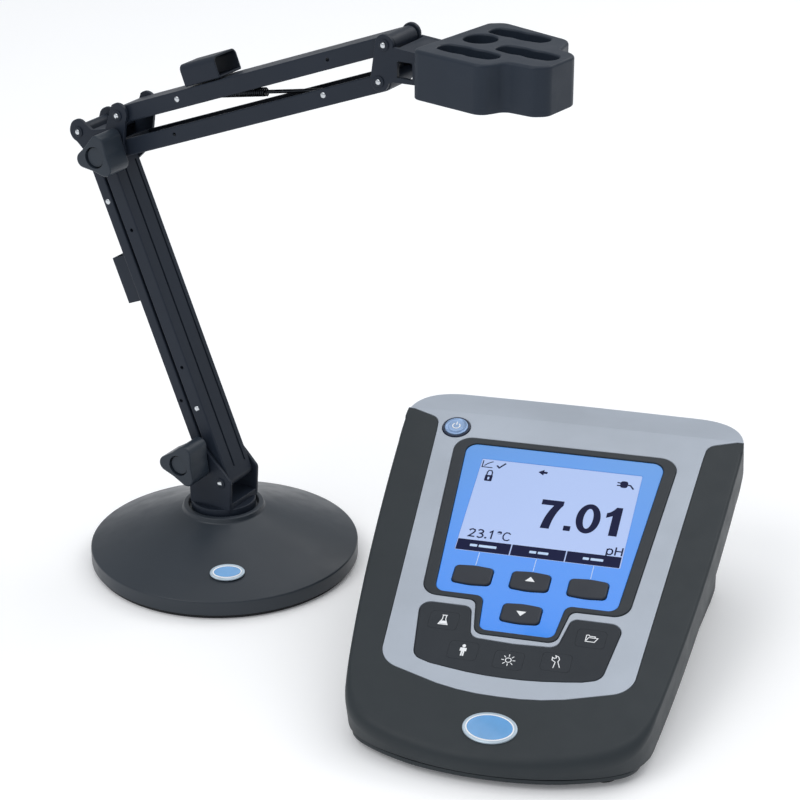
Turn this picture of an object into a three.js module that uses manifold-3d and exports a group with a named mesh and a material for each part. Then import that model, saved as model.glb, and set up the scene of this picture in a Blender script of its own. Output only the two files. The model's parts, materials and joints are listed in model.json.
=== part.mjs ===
// Benchtop pH meter with a free-standing, balanced-arm electrode stand.
// Millimetres, +Z up, front of the meter towards -Y. The origin is at the bottom
// centre of the whole set's box, so the floor is z = 0.
import * as THREE from 'three';
import { mergeVertices } from 'three/addons/utils/BufferGeometryUtils.js';
import Module from 'manifold-3d';

const wasm = await Module();
wasm.setup();

// ---------------------------------------------------------------- driving dimensions
const GAP = 0.3; // clearance between neighbouring pieces
const BIG = 400; // size of a cutting block

// Meter
const TILT = THREE.MathUtils.degToRad(19); // slope of the control panel
const PANEL_Y = -117.5; // foot of the panel slope
const PANEL_Z = 15; // its height there
const FRONT_V = -2.2; // front edge at the centre, along the slope
const CREASE_V = 217; // where the slope ends and the rear band starts
const SKIRT_V = 221.4; // where the band starts to wrap the sides
const REAR_V = 243; // rear edge, along the slope
const REAR_HALF = 87.5; // half width at the rear
const TOP_Z = 88.3; // height of the rear edge
const SLAB = 20; // thickness of the sloping upper housing
const PARTING_Z = 5.6; // parting line of the nose
const FLOOR_Z = 3; // underside of the lower housing
const WALL = 2.5;
const BEZEL = 3; // thickness of the silver bezel
const BAND_SKIRT = 7; // depth of the bezel where it wraps the rear edge
const LEDGE = 4; // shelf that the bezel rests on
const TRAVEL = 1.2; // free depth under each key

// Stand
const STAND_X = -182.2; // swivel axis, from the meter's centre line
const STAND_Y = 67;
const ARM_YAW = THREE.MathUtils.degToRad(-16.1);
const BLOCK_YAW = THREE.MathUtils.degToRad(-8);
const BASE_R = 71;
const LINK_HALF = 10.5; // half width of every link, across the arm
const CHEEK_IN = 11.2; // inner face of a cheek
const CHEEK_OUT = 13.2; // outer face of a cheek
const PIN_R = 2;
const HOLE_R = PIN_R + GAP;
const KNOB_DEPTH = 15.5;
// Pins, as (along the arm, height)
const A = new THREE.Vector2(-6.6, 63.6);
const B = new THREE.Vector2(7.8, 50.2);
const LOWER = new THREE.Vector2(-66.4, 164.6); // lower links, pin to pin
const P1 = A.clone().add(LOWER);
const P3 = B.clone().add(LOWER);
const P2 = new THREE.Vector2(-47.9, 240.6);
const P4 = new THREE.Vector2(-50.5, 222.8);
const UPPER = new THREE.Vector2(155.8, 58.5); // upper links, pin to pin
const H1 = P2.clone().add(UPPER);
const H2 = P4.clone().add(UPPER);

// ---------------------------------------------------------------- solids
// A closed mesh as a solid that can be joined and cut.
function solid(geometry) {
  const bare = new THREE.BufferGeometry();
  bare.setAttribute('position', geometry.getAttribute('position').clone());
  if (geometry.index) bare.setIndex(geometry.index.clone());
  const merged = mergeVertices(bare, 1e-4);
  const kept = [];
  const index = merged.index.array;
  for (let i = 0; i < index.length; i += 3) {
    const [a, b, c] = [index[i], index[i + 1], index[i + 2]];
    if (a !== b && b !== c && c !== a) kept.push(a, b, c);
  }
  return new wasm.Manifold(new wasm.Mesh({
    numProp: 3,
    vertProperties: new Float32Array(merged.attributes.position.array),
    triVerts: new Uint32Array(kept),
  }));
}

function toGeometry(body) {
  const mesh = body.getMesh();
  const geometry = new THREE.BufferGeometry();
  geometry.setAttribute('position', new THREE.BufferAttribute(new Float32Array(mesh.vertProperties), 3));
  geometry.setIndex(new THREE.BufferAttribute(new Uint32Array(mesh.triVerts), 1));
  geometry.computeVertexNormals();
  return geometry;
}

// An outline of (x, y) points, extruded from low to high along z.
function prismGeometry(points, low, high) {
  const shape = new THREE.Shape(points);
  const geometry = new THREE.ExtrudeGeometry(shape, { depth: high - low, bevelEnabled: false });
  return geometry.translate(0, 0, low);
}

const prism = (points, low, high) => solid(prismGeometry(points, low, high));

// An outline of (along, height) points, extruded across from near to far along y.
function plate(points, near, far) {
  return solid(prismGeometry(points, -far, -near).rotateX(Math.PI / 2));
}

function box(x0, x1, y0, y1, z0, z1) {
  const geometry = new THREE.BoxGeometry(x1 - x0, y1 - y0, z1 - z0);
  return solid(geometry.translate((x0 + x1) / 2, (y0 + y1) / 2, (z0 + z1) / 2));
}

// A round bar along z from low to high.
function post(x, y, r, low, high, sides = 20) {
  const geometry = new THREE.CylinderGeometry(r, r, high - low, sides);
  return solid(geometry.rotateX(Math.PI / 2).translate(x, y, (low + high) / 2));
}

// A round bar along y, through a pin's centre.
function pinBar(pin, r, near, far, sides = 14) {
  const geometry = new THREE.CylinderGeometry(r, r, far - near, sides);
  return solid(geometry.translate(pin.x, (near + far) / 2, pin.y));
}

// A round piece turned about z, from a closed profile of [radius, height] points.
function turned(profile, sides = 40) {
  const points = profile.map(([r, z]) => new THREE.Vector2(r, z));
  return solid(new THREE.LatheGeometry(points, sides).rotateX(Math.PI / 2));
}

const join = (...bodies) => bodies.reduce((sum, body) => sum.add(body));
const cut = (body, ...tools) => tools.reduce((rest, tool) => rest.subtract(tool), body);

// ---------------------------------------------------------------- outlines
const p = (x, y) => new THREE.Vector2(x, y);

// Corners given as [x, y, fillet radius], as a closed outline.
function rounded(corners, steps = 4) {
  const outline = [];
  corners.forEach(([x, y, r], i) => {
    const here = p(x, y);
    const before = p(...corners[(i + corners.length - 1) % corners.length]);
    const after = p(...corners[(i + 1) % corners.length]);
    if (!r) {
      outline.push(here);
      return;
    }
    const inward = before.clone().sub(here).normalize();
    const outward = after.clone().sub(here).normalize();
    const half = Math.acos(THREE.MathUtils.clamp(inward.dot(outward), -1, 1)) / 2;
    const back = r / Math.tan(half);
    const from = here.clone().addScaledVector(inward, back);
    const to = here.clone().addScaledVector(outward, back);
    const centre = here.clone().addScaledVector(inward.clone().add(outward).normalize(), r / Math.sin(half));
    const start = from.clone().sub(centre).angle();
    let sweep = to.clone().sub(centre).angle() - start;
    if (sweep > Math.PI) sweep -= 2 * Math.PI;
    if (sweep < -Math.PI) sweep += 2 * Math.PI;
    for (let k = 0; k <= steps; k += 1) {
      const angle = start + (sweep * k) / steps;
      outline.push(p(centre.x + r * Math.cos(angle), centre.y + r * Math.sin(angle)));
    }
  });
  return outline;
}

// The right half of an outline mirrored onto the left. Given from front to rear.
function mirrored(right) {
  const left = right.filter((q) => q.x > 1e-6).map((q) => p(-q.x, q.y)).reverse();
  return [...right, ...left];
}

// An outline moved inwards by a distance, or outwards by a negative one.
function inset(outline, distance) {
  const amount = typeof distance === 'function' ? distance : () => distance;
  return outline.map((here, i) => {
    const before = outline[(i + outline.length - 1) % outline.length];
    const after = outline[(i + 1) % outline.length];
    const one = here.clone().sub(before).normalize();
    const two = after.clone().sub(here).normalize();
    const side = one.clone().add(two).normalize();
    const stretch = Math.max(0.5, one.dot(side));
    return p(here.x - (side.y * amount(here)) / stretch, here.y + (side.x * amount(here)) / stretch);
  });
}

// A round-ended bar between two pins.
function stadium(from, to, r, steps = 6) {
  const along = to.clone().sub(from).angle();
  const outline = [];
  for (const [centre, turn] of [[to, -Math.PI / 2], [from, Math.PI / 2]]) {
    for (let k = 0; k <= steps; k += 1) {
      const angle = along + turn + (Math.PI * k) / steps;
      outline.push(p(centre.x + r * Math.cos(angle), centre.y + r * Math.sin(angle)));
    }
  }
  return outline;
}

// A four-sided strip beside the line between two pins: t along it, h across it.
function strip(from, to, t0, t1, h0, h1) {
  const dir = to.clone().sub(from).normalize();
  const up = p(-dir.y, dir.x);
  const at = (t, h) => from.clone().addScaledVector(dir, t).addScaledVector(up, h);
  return [at(t0, h0), at(t1, h0), at(t1, h1), at(t0, h1)];
}

function ellipse(cx, cy, rx, ry, steps = 24) {
  return new THREE.EllipseCurve(cx, cy, rx, ry).getPoints(steps).slice(0, -1);
}

// ---------------------------------------------------------------- materials and nodes
const paint = (color, roughness, metalness = 0) => new THREE.MeshStandardMaterial({ color, roughness, metalness });
const SILVER = paint(0xaeb5bf, 0.4, 0.3);
const CHARCOAL = paint(0x3c4347, 0.55);
const BLUE = paint(0x3f97f2, 0.2);
const SCREEN = paint(0xb0c7f1, 0.3);
const RUBBER = paint(0x3a3f44, 0.8);
const KEY = paint(0x383d46, 0.6);
const STEEL = paint(0xc2c6ca, 0.3, 0.9);
const BADGE = paint(0x69a8df, 0.3);
const BOARD = paint(0x1f6b3a, 0.6);
const CELL = paint(0x8a9096, 0.4, 0.5);
const DARK = paint(0x1c1f24, 0.5);
const ARM = paint(0x2f363f, 0.5);
const BASE = paint(0x3a4049, 0.35);

const meter = new THREE.Group();
const panel = new THREE.Group();
panel.position.set(0, PANEL_Y, PANEL_Z);
panel.rotation.x = TILT;
meter.add(panel);
const stand = new THREE.Group();
stand.position.set(STAND_X, STAND_Y, 0);
stand.rotation.z = ARM_YAW;

function add(group, name, body, material) {
  const mesh = new THREE.Mesh(toGeometry(body), material);
  mesh.name = name;
  group.add(mesh);
  return mesh;
}

// ---------------------------------------------------------------- meter: outer form
// Panel frame: u across, v up the slope, w out of the panel.
panel.updateMatrixWorld(true);
const toPanel = panel.matrixWorld.clone().invert();

// A side profile of (y, z) points in the meter's frame, as a solid in the panel's frame.
function profile(points) {
  const across = prismGeometry(points, -BIG / 2, BIG / 2);
  across.rotateX(Math.PI / 2).rotateZ(Math.PI / 2);
  return solid(across.applyMatrix4(toPanel));
}

const along = (v, w = 0) => p(
  PANEL_Y + v * Math.cos(TILT) - w * Math.sin(TILT),
  PANEL_Z + v * Math.sin(TILT) + w * Math.cos(TILT),
);
const creaseYZ = along(CREASE_V);
const REAR_Y = PANEL_Y + REAR_V * Math.cos(TILT) + 2.3;
const underside = (y) => along(0, -SLAB).y + (y - along(0, -SLAB).x) * Math.tan(TILT);
const undersideY = (z) => along(0, -SLAB).x + (z - along(0, -SLAB).y) / Math.tan(TILT);

// Plan of the upper housing, on the panel's plane.
function housingPlan(steps = 7) {
  const path = new THREE.Path();
  path.moveTo(0, FRONT_V);
  path.quadraticCurveTo(22, FRONT_V, 42, FRONT_V + 6.6);
  path.quadraticCurveTo(60, FRONT_V + 12, 66.5, FRONT_V + 20.7);
  path.quadraticCurveTo(70.3, FRONT_V + 25.5, 72.2, 33);
  path.quadraticCurveTo(82.5, 100, 86.8, 196);
  path.quadraticCurveTo(REAR_HALF, 204, REAR_HALF, 216);
  path.quadraticCurveTo(REAR_HALF, REAR_V, 60, REAR_V);
  path.lineTo(0, REAR_V + 0.6);
  return mirrored(path.getPoints(steps).filter((q, i, all) => !i || q.distanceTo(all[i - 1]) > 0.05));
}

const PLAN = housingPlan();
const slabForm = profile([
  along(-13), p(along(-13).x, PARTING_Z + GAP), p(undersideY(PARTING_Z + GAP), PARTING_Z + GAP),
  p(REAR_Y + 20, underside(REAR_Y + 20)), p(REAR_Y + 20, TOP_Z), p(REAR_Y, TOP_Z), creaseYZ,
]).intersect(prism(PLAN, -60, 40));

// The rear band, down to a depth below its surface and from a place up the slope.
const BAND_SLOPE = (TOP_Z - creaseYZ.y) / (REAR_Y - creaseYZ.x);
function bandRegion(fromV, depth) {
  const front = along(fromV, 30);
  const foot = along(fromV, -depth);
  const drop = (y) => creaseYZ.y - depth + (y - creaseYZ.x) * BAND_SLOPE;
  return profile([front, p(foot.x, drop(foot.x)), p(REAR_Y + 30, drop(REAR_Y + 30)), p(REAR_Y + 30, TOP_Z + 30)]);
}

// ---------------------------------------------------------------- meter: panel outlines
// The silver shield around the display and the keypad, open towards the band.
function shieldOutline(extra = 0) {
  return mirrored([
    p(0, 37 - extra),
    ...[[20, 38.3], [38, 42.8]].map(([x, y]) => p(x, y - extra)),
    ...rounded([[0, 30, 0], [38, 42.8, 0], [60.2 + extra, 49.8 - extra, 13 + extra], [60.2 + extra, 70, 0]])
      .slice(2, -1),
    p(64.8 + extra, 140),
    p(69.2 + extra, 213.5),
    p(71 + extra, 216.2 - extra),
    p(90, 221.6 - extra),
    p(90, 228),
    p(0, 228),
  ]);
}

const windowOuter = rounded([
  [19.5, 73.2, 5], [23, 94, 4], [50, 94.4, 8], [57.6, 203.6, 9],
  [-57.6, 203.6, 9], [-50, 94.4, 8], [-23, 94, 4], [-19.5, 73.2, 5],
]);
const lensOutline = rounded([
  [17.8, 76, 4], [20, 97.2, 4], [44.2, 97.2, 5], [51, 199.6, 6],
  [-51, 199.6, 6], [-44.2, 97.2, 5], [-20, 97.2, 4], [-17.8, 76, 4],
]);
const padOutline = mirrored([
  p(0, 48.5), p(18, 49.4),
  ...rounded([[0, 45, 0], [36, 52, 0], [44.6, 54.8, 6.5], [49.4, 89.6, 5.5], [24.4, 89.6, 4], [20.8, 70.5, 5],
    [0, 70, 0]]).slice(1, -1),
  p(0, 69.6),
]);

// ---------------------------------------------------------------- meter: shells
const powerPlace = p(-58.9, 210.2);
const POWER_R = 7.2;

function buildTopBezel() {
  const shield = slabForm.intersect(prism(shieldOutline(), -BEZEL, 40));
  const band = slabForm.intersect(bandRegion(SKIRT_V, BAND_SKIRT));
  const hollow = prism(inset(PLAN, WALL), -60, 40)
    .intersect(bandRegion(SKIRT_V + 3, BAND_SKIRT + 5))
    .intersect(profile([along(SKIRT_V + 3, -40), p(REAR_Y + 20, 20), p(REAR_Y + 20, TOP_Z - WALL),
      p(along(SKIRT_V + 3).x, creaseYZ.y - WALL)]));
  return cut(
    join(shield, band), hollow,
    prism(inset(windowOuter, -GAP), -20, 20),
    prism(inset(padOutline, -GAP), -20, 20),
    post(powerPlace.x, powerPlace.y, POWER_R + GAP, -20, 20),
  );
}

function buildUpperHousing() {
  return cut(
    slabForm,
    bandRegion(SKIRT_V - GAP, BAND_SKIRT + GAP),
    prism(inset(PLAN, WALL), -60, -BEZEL - 2),
    prism(shieldOutline(GAP), -BEZEL - GAP, 40),
    prism(shieldOutline(-LEDGE), -60, 40).intersect(prism(inset(PLAN, WALL), -60, 40)),
  );
}

// Plan of the lower housing seen from above: flush with the upper one at the nose, where the
// upper wall leans in, and pulled in along the sides.
const NOSE_Y = -116.7;
const LOWER_SCALE = 0.9337;
const lowerInset = (q) => 0.4 + 1.6 * THREE.MathUtils.smoothstep(Math.abs(q.x), 30, 60)
  + 8 * THREE.MathUtils.smoothstep(q.y, 15, 70);

function lowerPlan(more = 0) {
  return inset(PLAN, (q) => lowerInset(q) + more)
    .map((q) => p(q.x, NOSE_Y + (q.y - FRONT_V) * LOWER_SCALE));
}

const DOOR = { x: 34, y0: 4, y1: 74 };
const PORT_PANEL = { x: 58, z0: 14, z1: 46 };
const FEET = [[-52, -94], [52, -94], [-60, 84], [60, 84]];
const FOOT_R = 6.6;
const lowerRear = Math.max(...lowerPlan().map((q) => q.y));

function profileUpright(points) {
  const across = prismGeometry(points, -BIG / 2, BIG / 2);
  return solid(across.rotateX(Math.PI / 2).rotateZ(Math.PI / 2));
}

function buildLowerHousing() {
  const side = profileUpright([
    p(-140, FLOOR_Z), p(REAR_Y + 20, FLOOR_Z), p(REAR_Y + 20, underside(REAR_Y + 20) - GAP),
    p(undersideY(PARTING_Z) + 1, PARTING_Z), p(-140, PARTING_Z),
  ]);
  const outer = prism(lowerPlan(), FLOOR_Z, 120).intersect(side);
  const pockets = FEET.map(([x, y]) => post(x, y, FOOT_R + GAP, 0, FLOOR_Z + 1.3));
  return cut(
    outer,
    prism(lowerPlan(WALL), FLOOR_Z + WALL, 140),
    box(-DOOR.x, DOOR.x, DOOR.y0, DOOR.y1, 0, 20),
    box(-PORT_PANEL.x, PORT_PANEL.x, lowerRear - 6, lowerRear + 6, PORT_PANEL.z0, PORT_PANEL.z1),
    ...pockets,
  );
}

add(panel, 'top_bezel', buildTopBezel(), SILVER);
add(panel, 'upper_housing', buildUpperHousing(), CHARCOAL);
add(meter, 'lower_housing', buildLowerHousing(), CHARCOAL);
add(meter, 'battery_door', box(
  -DOOR.x + GAP, DOOR.x - GAP, DOOR.y0 + GAP, DOOR.y1 - GAP, FLOOR_Z, FLOOR_Z + 2), CHARCOAL);
FEET.forEach(([x, y], i) => add(meter, `foot_${i + 1}`, post(x, y, FOOT_R, 0, FLOOR_Z + 1), RUBBER));

// ---------------------------------------------------------------- meter: rear ports
const PORT_Z = 30;
const panelY = lowerRear - 2;
const PORTS = {
  probe_socket_1: { x: -44, r: 7.6, bore: 5.4, depth: 11 },
  probe_socket_2: { x: -20, r: 7.6, bore: 5.4, depth: 11 },
  usb_a_port: { x: 4, w: 7.2, h: 3.6, boreW: 6.3, boreH: 2.5, depth: 12 },
  usb_b_port: { x: 26, w: 6.2, h: 5.8, boreW: 4.2, boreH: 4, depth: 12 },
  dc_jack: { x: 46, r: 5.2, bore: 3, depth: 10 },
};

// A bar along y whose section is round or rectangular.
function portBar(port, grow, near, far, bore = false) {
  const place = p(port.x, PORT_Z);
  if (port.r) return pinBar(place, (bore ? port.bore : port.r) + grow, near, far, 16);
  const w = (bore ? port.boreW : port.w) + grow;
  const h = (bore ? port.boreH : port.h) + grow;
  return box(port.x - w, port.x + w, near, far, PORT_Z - h, PORT_Z + h);
}

const ports = Object.entries(PORTS);
const portHoles = ports.map(([, port]) => portBar(port, GAP, panelY - 20, panelY + 20));
add(meter, 'rear_panel', cut(
  box(-PORT_PANEL.x + GAP, PORT_PANEL.x - GAP, panelY - 1.6, panelY + 0.6, PORT_PANEL.z0 + GAP,
    PORT_PANEL.z1 - GAP), ...portHoles), DARK);
for (const [name, port] of ports) {
  const front = panelY + 2.2;
  const bar = portBar(port, 0, front - port.depth - 3, front);
  add(meter, name, cut(bar, portBar(port, 0, front - port.depth, front + 5, true)), STEEL);
}

// ---------------------------------------------------------------- meter: display and keys
const KEY_HOLES = [
  ['key_left', -28.2, 109.5], ['key_right', 28.2, 109.5], ['key_up', 0, 109.8], ['key_down', 0, 88.6],
];
const FUNCTION_KEYS = [
  ['key_sample', -35.4, 78.8], ['key_user', -22.2, 61.8], ['key_backlight', 0, 59.4],
  ['key_settings', 22.2, 61.8], ['key_data', 35.4, 78.8],
];
const KEY_HALF = p(9.5, 6);
const FUNCTION_HALF = p(7, 5.5);

function pad(u, v, half, grow, r = 2.2) {
  const x = half.x + grow;
  const y = half.y + grow;
  return rounded([[u - x, v - y, r], [u + x, v - y, r], [u + x, v + y, r], [u - x, v + y, r]], 3);
}

const lensHoles = KEY_HOLES.map(([, u, v]) => prism(pad(u, v, KEY_HALF, GAP), -20, 20));
const padHoles = FUNCTION_KEYS.map(([, u, v]) => prism(pad(u, v, FUNCTION_HALF, GAP), -BEZEL - 0.4 - TRAVEL, 20));
add(panel, 'window_bezel', cut(
  prism(windowOuter, -BEZEL, 0.4), prism(inset(lensOutline, -GAP), -20, 20)), RUBBER);
add(panel, 'display_lens', cut(prism(lensOutline, -2.4, -0.2), ...lensHoles), BLUE);
add(panel, 'lcd_module', prism(rounded([[-46, 121, 2], [46, 121, 2], [46, 192, 2], [-46, 192, 2]], 2), -9, -BEZEL - 0.2),
  SCREEN);
add(panel, 'keypad_mat', cut(
  join(
    prism(rounded([[-51, 47, 3], [51, 47, 3], [51, 119, 3], [-51, 119, 3]], 2), -7.4, -5),
    prism(padOutline, -6, -0.3),
  ), ...padHoles), RUBBER);
add(panel, 'main_board', box(-54, 54, 48, 196, -12, -10.4), BOARD);
for (const [name, u, v] of KEY_HOLES) {
  add(panel, name, prism(pad(u, v, KEY_HALF, 0), -3.8, 0.9), KEY);
}
for (const [name, u, v] of FUNCTION_KEYS) {
  add(panel, name, prism(pad(u, v, FUNCTION_HALF, 0), -BEZEL - 0.4, -0.1), KEY);
}
add(panel, 'power_ring', cut(
  post(powerPlace.x, powerPlace.y, POWER_R, -BEZEL, 0.7),
  post(powerPlace.x, powerPlace.y, POWER_R - 1.5, -20, 20)), DARK);
add(panel, 'power_button', post(powerPlace.x, powerPlace.y, POWER_R - 1.8, -2, 1.1), STEEL);
add(panel, 'meter_badge', prism(ellipse(0, 17.7, 12.8, 9.1), GAP, 1.3), BADGE);
for (let i = 0; i < 4; i += 1) {
  const cell = new THREE.CylinderGeometry(7.1, 7.1, 50, 20).rotateZ(Math.PI / 2);
  cell.translate(0, DOOR.y0 + 13 + i * 14.8, FLOOR_Z + 10.5);
  add(meter, `battery_${i + 1}`, solid(cell), CELL);
}

// ---------------------------------------------------------------- stand: base
const BASE_TOP = 32.5;
const HUB_R = 6;
add(stand, 'stand_base_cover', turned([
  [HUB_R + GAP, 14], [14, 14], [14, 27], [64, 9.4], [67.5, 8], [67.5, 2.4], [BASE_R, 2.4],
  [BASE_R, 9.4], [BASE_R - 1.4, 11.4], [48, 19.6], [30, 26.4], [21.6, 30.4], [20.6, BASE_TOP],
  [18.6, BASE_TOP], [18, 30], [HUB_R + GAP, 30], [HUB_R + GAP, 14],
], 44), BASE);
add(stand, 'stand_base_weight', turned([
  [0, 2.6], [66.8, 2.6], [66.8, 7], [48, 13], [15, 13], [14.4, 11.4], [0, 11.4], [0, 2.6],
], 32), STEEL);
add(stand, 'stand_base_pad', turned([[0, 0], [69.5, 0], [70, 0.5], [70, 2.1], [0, 2.1], [0, 0]], 36), RUBBER);

// The badge lies on the cone's front, square to the line of sight along -Y.
const CONE = Math.atan2(19.6 - 11.4, 69.6 - 48);
const standBadge = prism(ellipse(0, 0, 9, 5.6), GAP + 0.1, 1.2);
const badgeMesh = add(stand, 'stand_badge', standBadge, BADGE);
const badgeTurn = new THREE.Group();
badgeTurn.rotation.z = -ARM_YAW + THREE.MathUtils.degToRad(20);
badgeTurn.add(badgeMesh);
badgeMesh.position.set(0, -53.5, 19.6 - 5.5 * Math.tan(CONE));
badgeMesh.rotation.x = CONE;
stand.add(badgeTurn);

// ---------------------------------------------------------------- stand: arm
const bothCheeks = (outline) => join(plate(outline, -CHEEK_OUT, -CHEEK_IN), plate(outline, CHEEK_IN, CHEEK_OUT));
const pinHoles = (...pins) => pins.map((pin) => pinBar(pin, HOLE_R, -20, 20));
const linkPlate = (outline) => plate(outline, -LINK_HALF, LINK_HALF);

function buildSwivelBracket() {
  const floor = 35.2;
  return cut(
    join(
      bothCheeks([p(-12, floor), p(13, floor), p(14, 51.5), p(11.4, 54), p(-1.6, 66), p(-11, 66), p(-12.2, 60)]),
      bothCheeks(stadium(A, B, 5.2)),
      plate([p(-12, floor), p(13, floor), p(13, floor + 3), p(-12, floor + 3)], -CHEEK_OUT, CHEEK_OUT),
      post(0, 0, 17, 30.6, floor + 0.2, 28),
      post(0, 0, HUB_R, 14, 31),
    ),
    ...pinHoles(A, B),
  );
}

function rivet(from, to, t, h) {
  const place = strip(from, to, t, t + 1, h, h + 1)[0];
  return pinBar(place, 1.4, -LINK_HALF - 0.5, LINK_HALF + 0.5, 14);
}

// A channel link: solid ends, a web on the side given by webSide, and two walls. Its outline
// lies a little below the line through its pins where drop isn't 0.
function buildLink(pinFrom, pinTo, half, webSide, grooves, drop = 0) {
  const [from, to] = [pinFrom, pinTo].map((pin) => p(pin.x, pin.y - drop));
  const length = to.distanceTo(from);
  const inner = half - 1.8;
  const cavity = webSide > 0 ? [-half - 2, inner] : [-inner, half + 2];
  const grooveSpan = webSide > 0 ? [half - 0.8, half + 2] : [-half - 2, -half + 0.8];
  const tools = grooves.map((k) => plate(strip(from, to, 6, length - 6, ...grooveSpan), k, k + 1.4));
  return cut(
    linkPlate(stadium(from, to, half)),
    plate(strip(from, to, half + 3, length - half - 3, ...cavity), -LINK_HALF + 2, LINK_HALF - 2),
    ...tools, ...pinHoles(pinFrom, pinTo),
  );
}

const REAR_HALF_LINK = 3;
const FRONT_HALF_LINK = 3.9;
const UPPER_HALF_LINK = 4.3;
add(stand, 'stand_swivel', buildSwivelBracket(), ARM);
add(stand, 'rear_link', join(
  buildLink(A, P1, REAR_HALF_LINK, 1, []), rivet(A, P1, 139, 0)), ARM);
add(stand, 'front_link', join(
  buildLink(B, P3, FRONT_HALF_LINK, -1, [-3.2, 6.4]), rivet(B, P3, 41, 0)), ARM);
add(stand, 'upper_link_top', join(
  buildLink(P2, H1, UPPER_HALF_LINK, 1, [], 0.5), rivet(P2, H1, 37.6, 0)), ARM);
add(stand, 'upper_link_bottom', join(
  buildLink(P4, H2, UPPER_HALF_LINK, -1, [], 1.2), rivet(P4, H2, 131.6, 0)), ARM);

function buildElbow() {
  return cut(
    join(
      bothCheeks(ellipse(P1.x + 0.3, P1.y + 0.9, 5.6, 5.6)),
      bothCheeks(ellipse(P2.x + 0.3, P2.y + 1, 5.4, 5.4)),
      bothCheeks(stadium(P1, P3, 5)),
      bothCheeks(stadium(P3, P4, 6)),
      bothCheeks(stadium(P4, P2, 5)),
      bothCheeks([P1, P3, P4, P2, p(-59, 232)]),
      plate(stadium(p(-66, 229), p(-58.6, 230.6), 1.6, 5), -CHEEK_OUT, CHEEK_OUT),
    ),
    ...pinHoles(P1, P2, P3, P4),
  );
}

const HEAD_END = 131;
const WINDOW = [115, 123.2, 284.5, 292.5];

function buildHead() {
  const [x0, x1, z0, z1] = WINDOW;
  const arm = [p(109, 280.5), p(113, 282), p(HEAD_END, 282.5), p(HEAD_END, 297), p(113, 298.6), p(109, 295)];
  return cut(
    join(
      bothCheeks(stadium(H1, H2, 4.6)),
      bothCheeks(arm),
      plate([p(123.5, 282.5), p(HEAD_END, 282.5), p(HEAD_END, 296.9), p(123.5, 297.5)], -CHEEK_OUT, CHEEK_OUT),
      plate([p(115, 296.4), p(124, 296), p(124, 297.4), p(115, 298.4)], -CHEEK_OUT, CHEEK_OUT),
    ),
    plate([p(x0, z0), p(x1, z0), p(x1, z1), p(x0, z1)], -20, 0),
    ...pinHoles(H1, H2),
  );
}

add(stand, 'elbow_yoke', buildElbow(), ARM);
add(stand, 'head_bracket', buildHead(), ARM);

// A pin with a head outside the far cheek, and one outside the near cheek unless a knob covers it.
function headedPin(pin, covered) {
  const out = CHEEK_OUT + GAP;
  const shaft = join(pinBar(pin, PIN_R, -CHEEK_OUT, out + 0.5), pinBar(pin, PIN_R + 0.8, out, out + 1.3));
  if (covered) return shaft;
  return join(shaft, pinBar(pin, PIN_R, -out - 0.5, 0), pinBar(pin, PIN_R + 0.8, -out - 1.3, -out));
}

for (const [name, pin] of [['base_pin', B], ['elbow_pin_rear', P1], ['elbow_pin_front', P3],
  ['elbow_pin_top', P2], ['head_pin_top', H1], ['head_pin_bottom', H2]]) {
  add(stand, name, headedPin(pin, pin === P3), STEEL);
}

// A three-lobed clamp knob on the near side, with its bolt through both cheeks.
function buildKnob(pin, turn, reach) {
  const corners = [0, 1, 2].map((i) => {
    const angle = turn + (i * 2 * Math.PI) / 3;
    return [pin.x + reach * Math.cos(angle), pin.y + reach * Math.sin(angle), 4.5];
  });
  const near = -CHEEK_OUT - 1.4 - KNOB_DEPTH;
  return join(
    cut(plate(rounded(corners), near, -CHEEK_OUT - 1.4), pinBar(pin, 5.6, near - 5, near + 2.6)),
    pinBar(pin, 4.4, -CHEEK_OUT - 2, -CHEEK_OUT - GAP),
    pinBar(pin, PIN_R, -CHEEK_OUT - 3, CHEEK_OUT + GAP + 1),
    pinBar(pin, PIN_R + 1.4, CHEEK_OUT + GAP, CHEEK_OUT + GAP + 2.4, 6),
  );
}

add(stand, 'base_knob', buildKnob(A, THREE.MathUtils.degToRad(65), 17.5), ARM);
add(stand, 'elbow_knob', buildKnob(P4, THREE.MathUtils.degToRad(78), 17), ARM);

// ---------------------------------------------------------------- stand: block
const BLOCK_TOP = 304;
const BLOCK_LOW = 280.8;
const HOLE_PLACE = p(14, 5.8);
const HOLE_RADIUS = 8;
const SLOTS = [[22.8, -14.8], [44.5, 0.2], [24.5, 21.8]];
const SLOT_HALF = p(16.2, 6.2);

function blockOutline() {
  return rounded([
    [0, -28, 5], [41, -30, 7], [46, -18, 5], [60, -17, 6], [65.3, -12, 6], [64.3, 13, 8], [53, 14, 3],
    [47.5, 29.5, 7], [6, 36, 7], [0, 30, 4],
  ], 4);
}

const block = new THREE.Group();
block.position.set(HEAD_END + 3.6, 0, 0);
block.rotation.z = BLOCK_YAW;
stand.add(block);
const slotCuts = SLOTS.map(([x, y]) => {
  const from = p(x - SLOT_HALF.x + SLOT_HALF.y, y);
  const to = p(x + SLOT_HALF.x - SLOT_HALF.y, y);
  return prism(stadium(from, to, SLOT_HALF.y), 200, 400);
});
add(block, 'electrode_block', cut(
  prism(blockOutline(), BLOCK_LOW, BLOCK_TOP), ...slotCuts,
  post(HOLE_PLACE.x, HOLE_PLACE.y, HOLE_RADIUS, 200, 400)), ARM);

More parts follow.
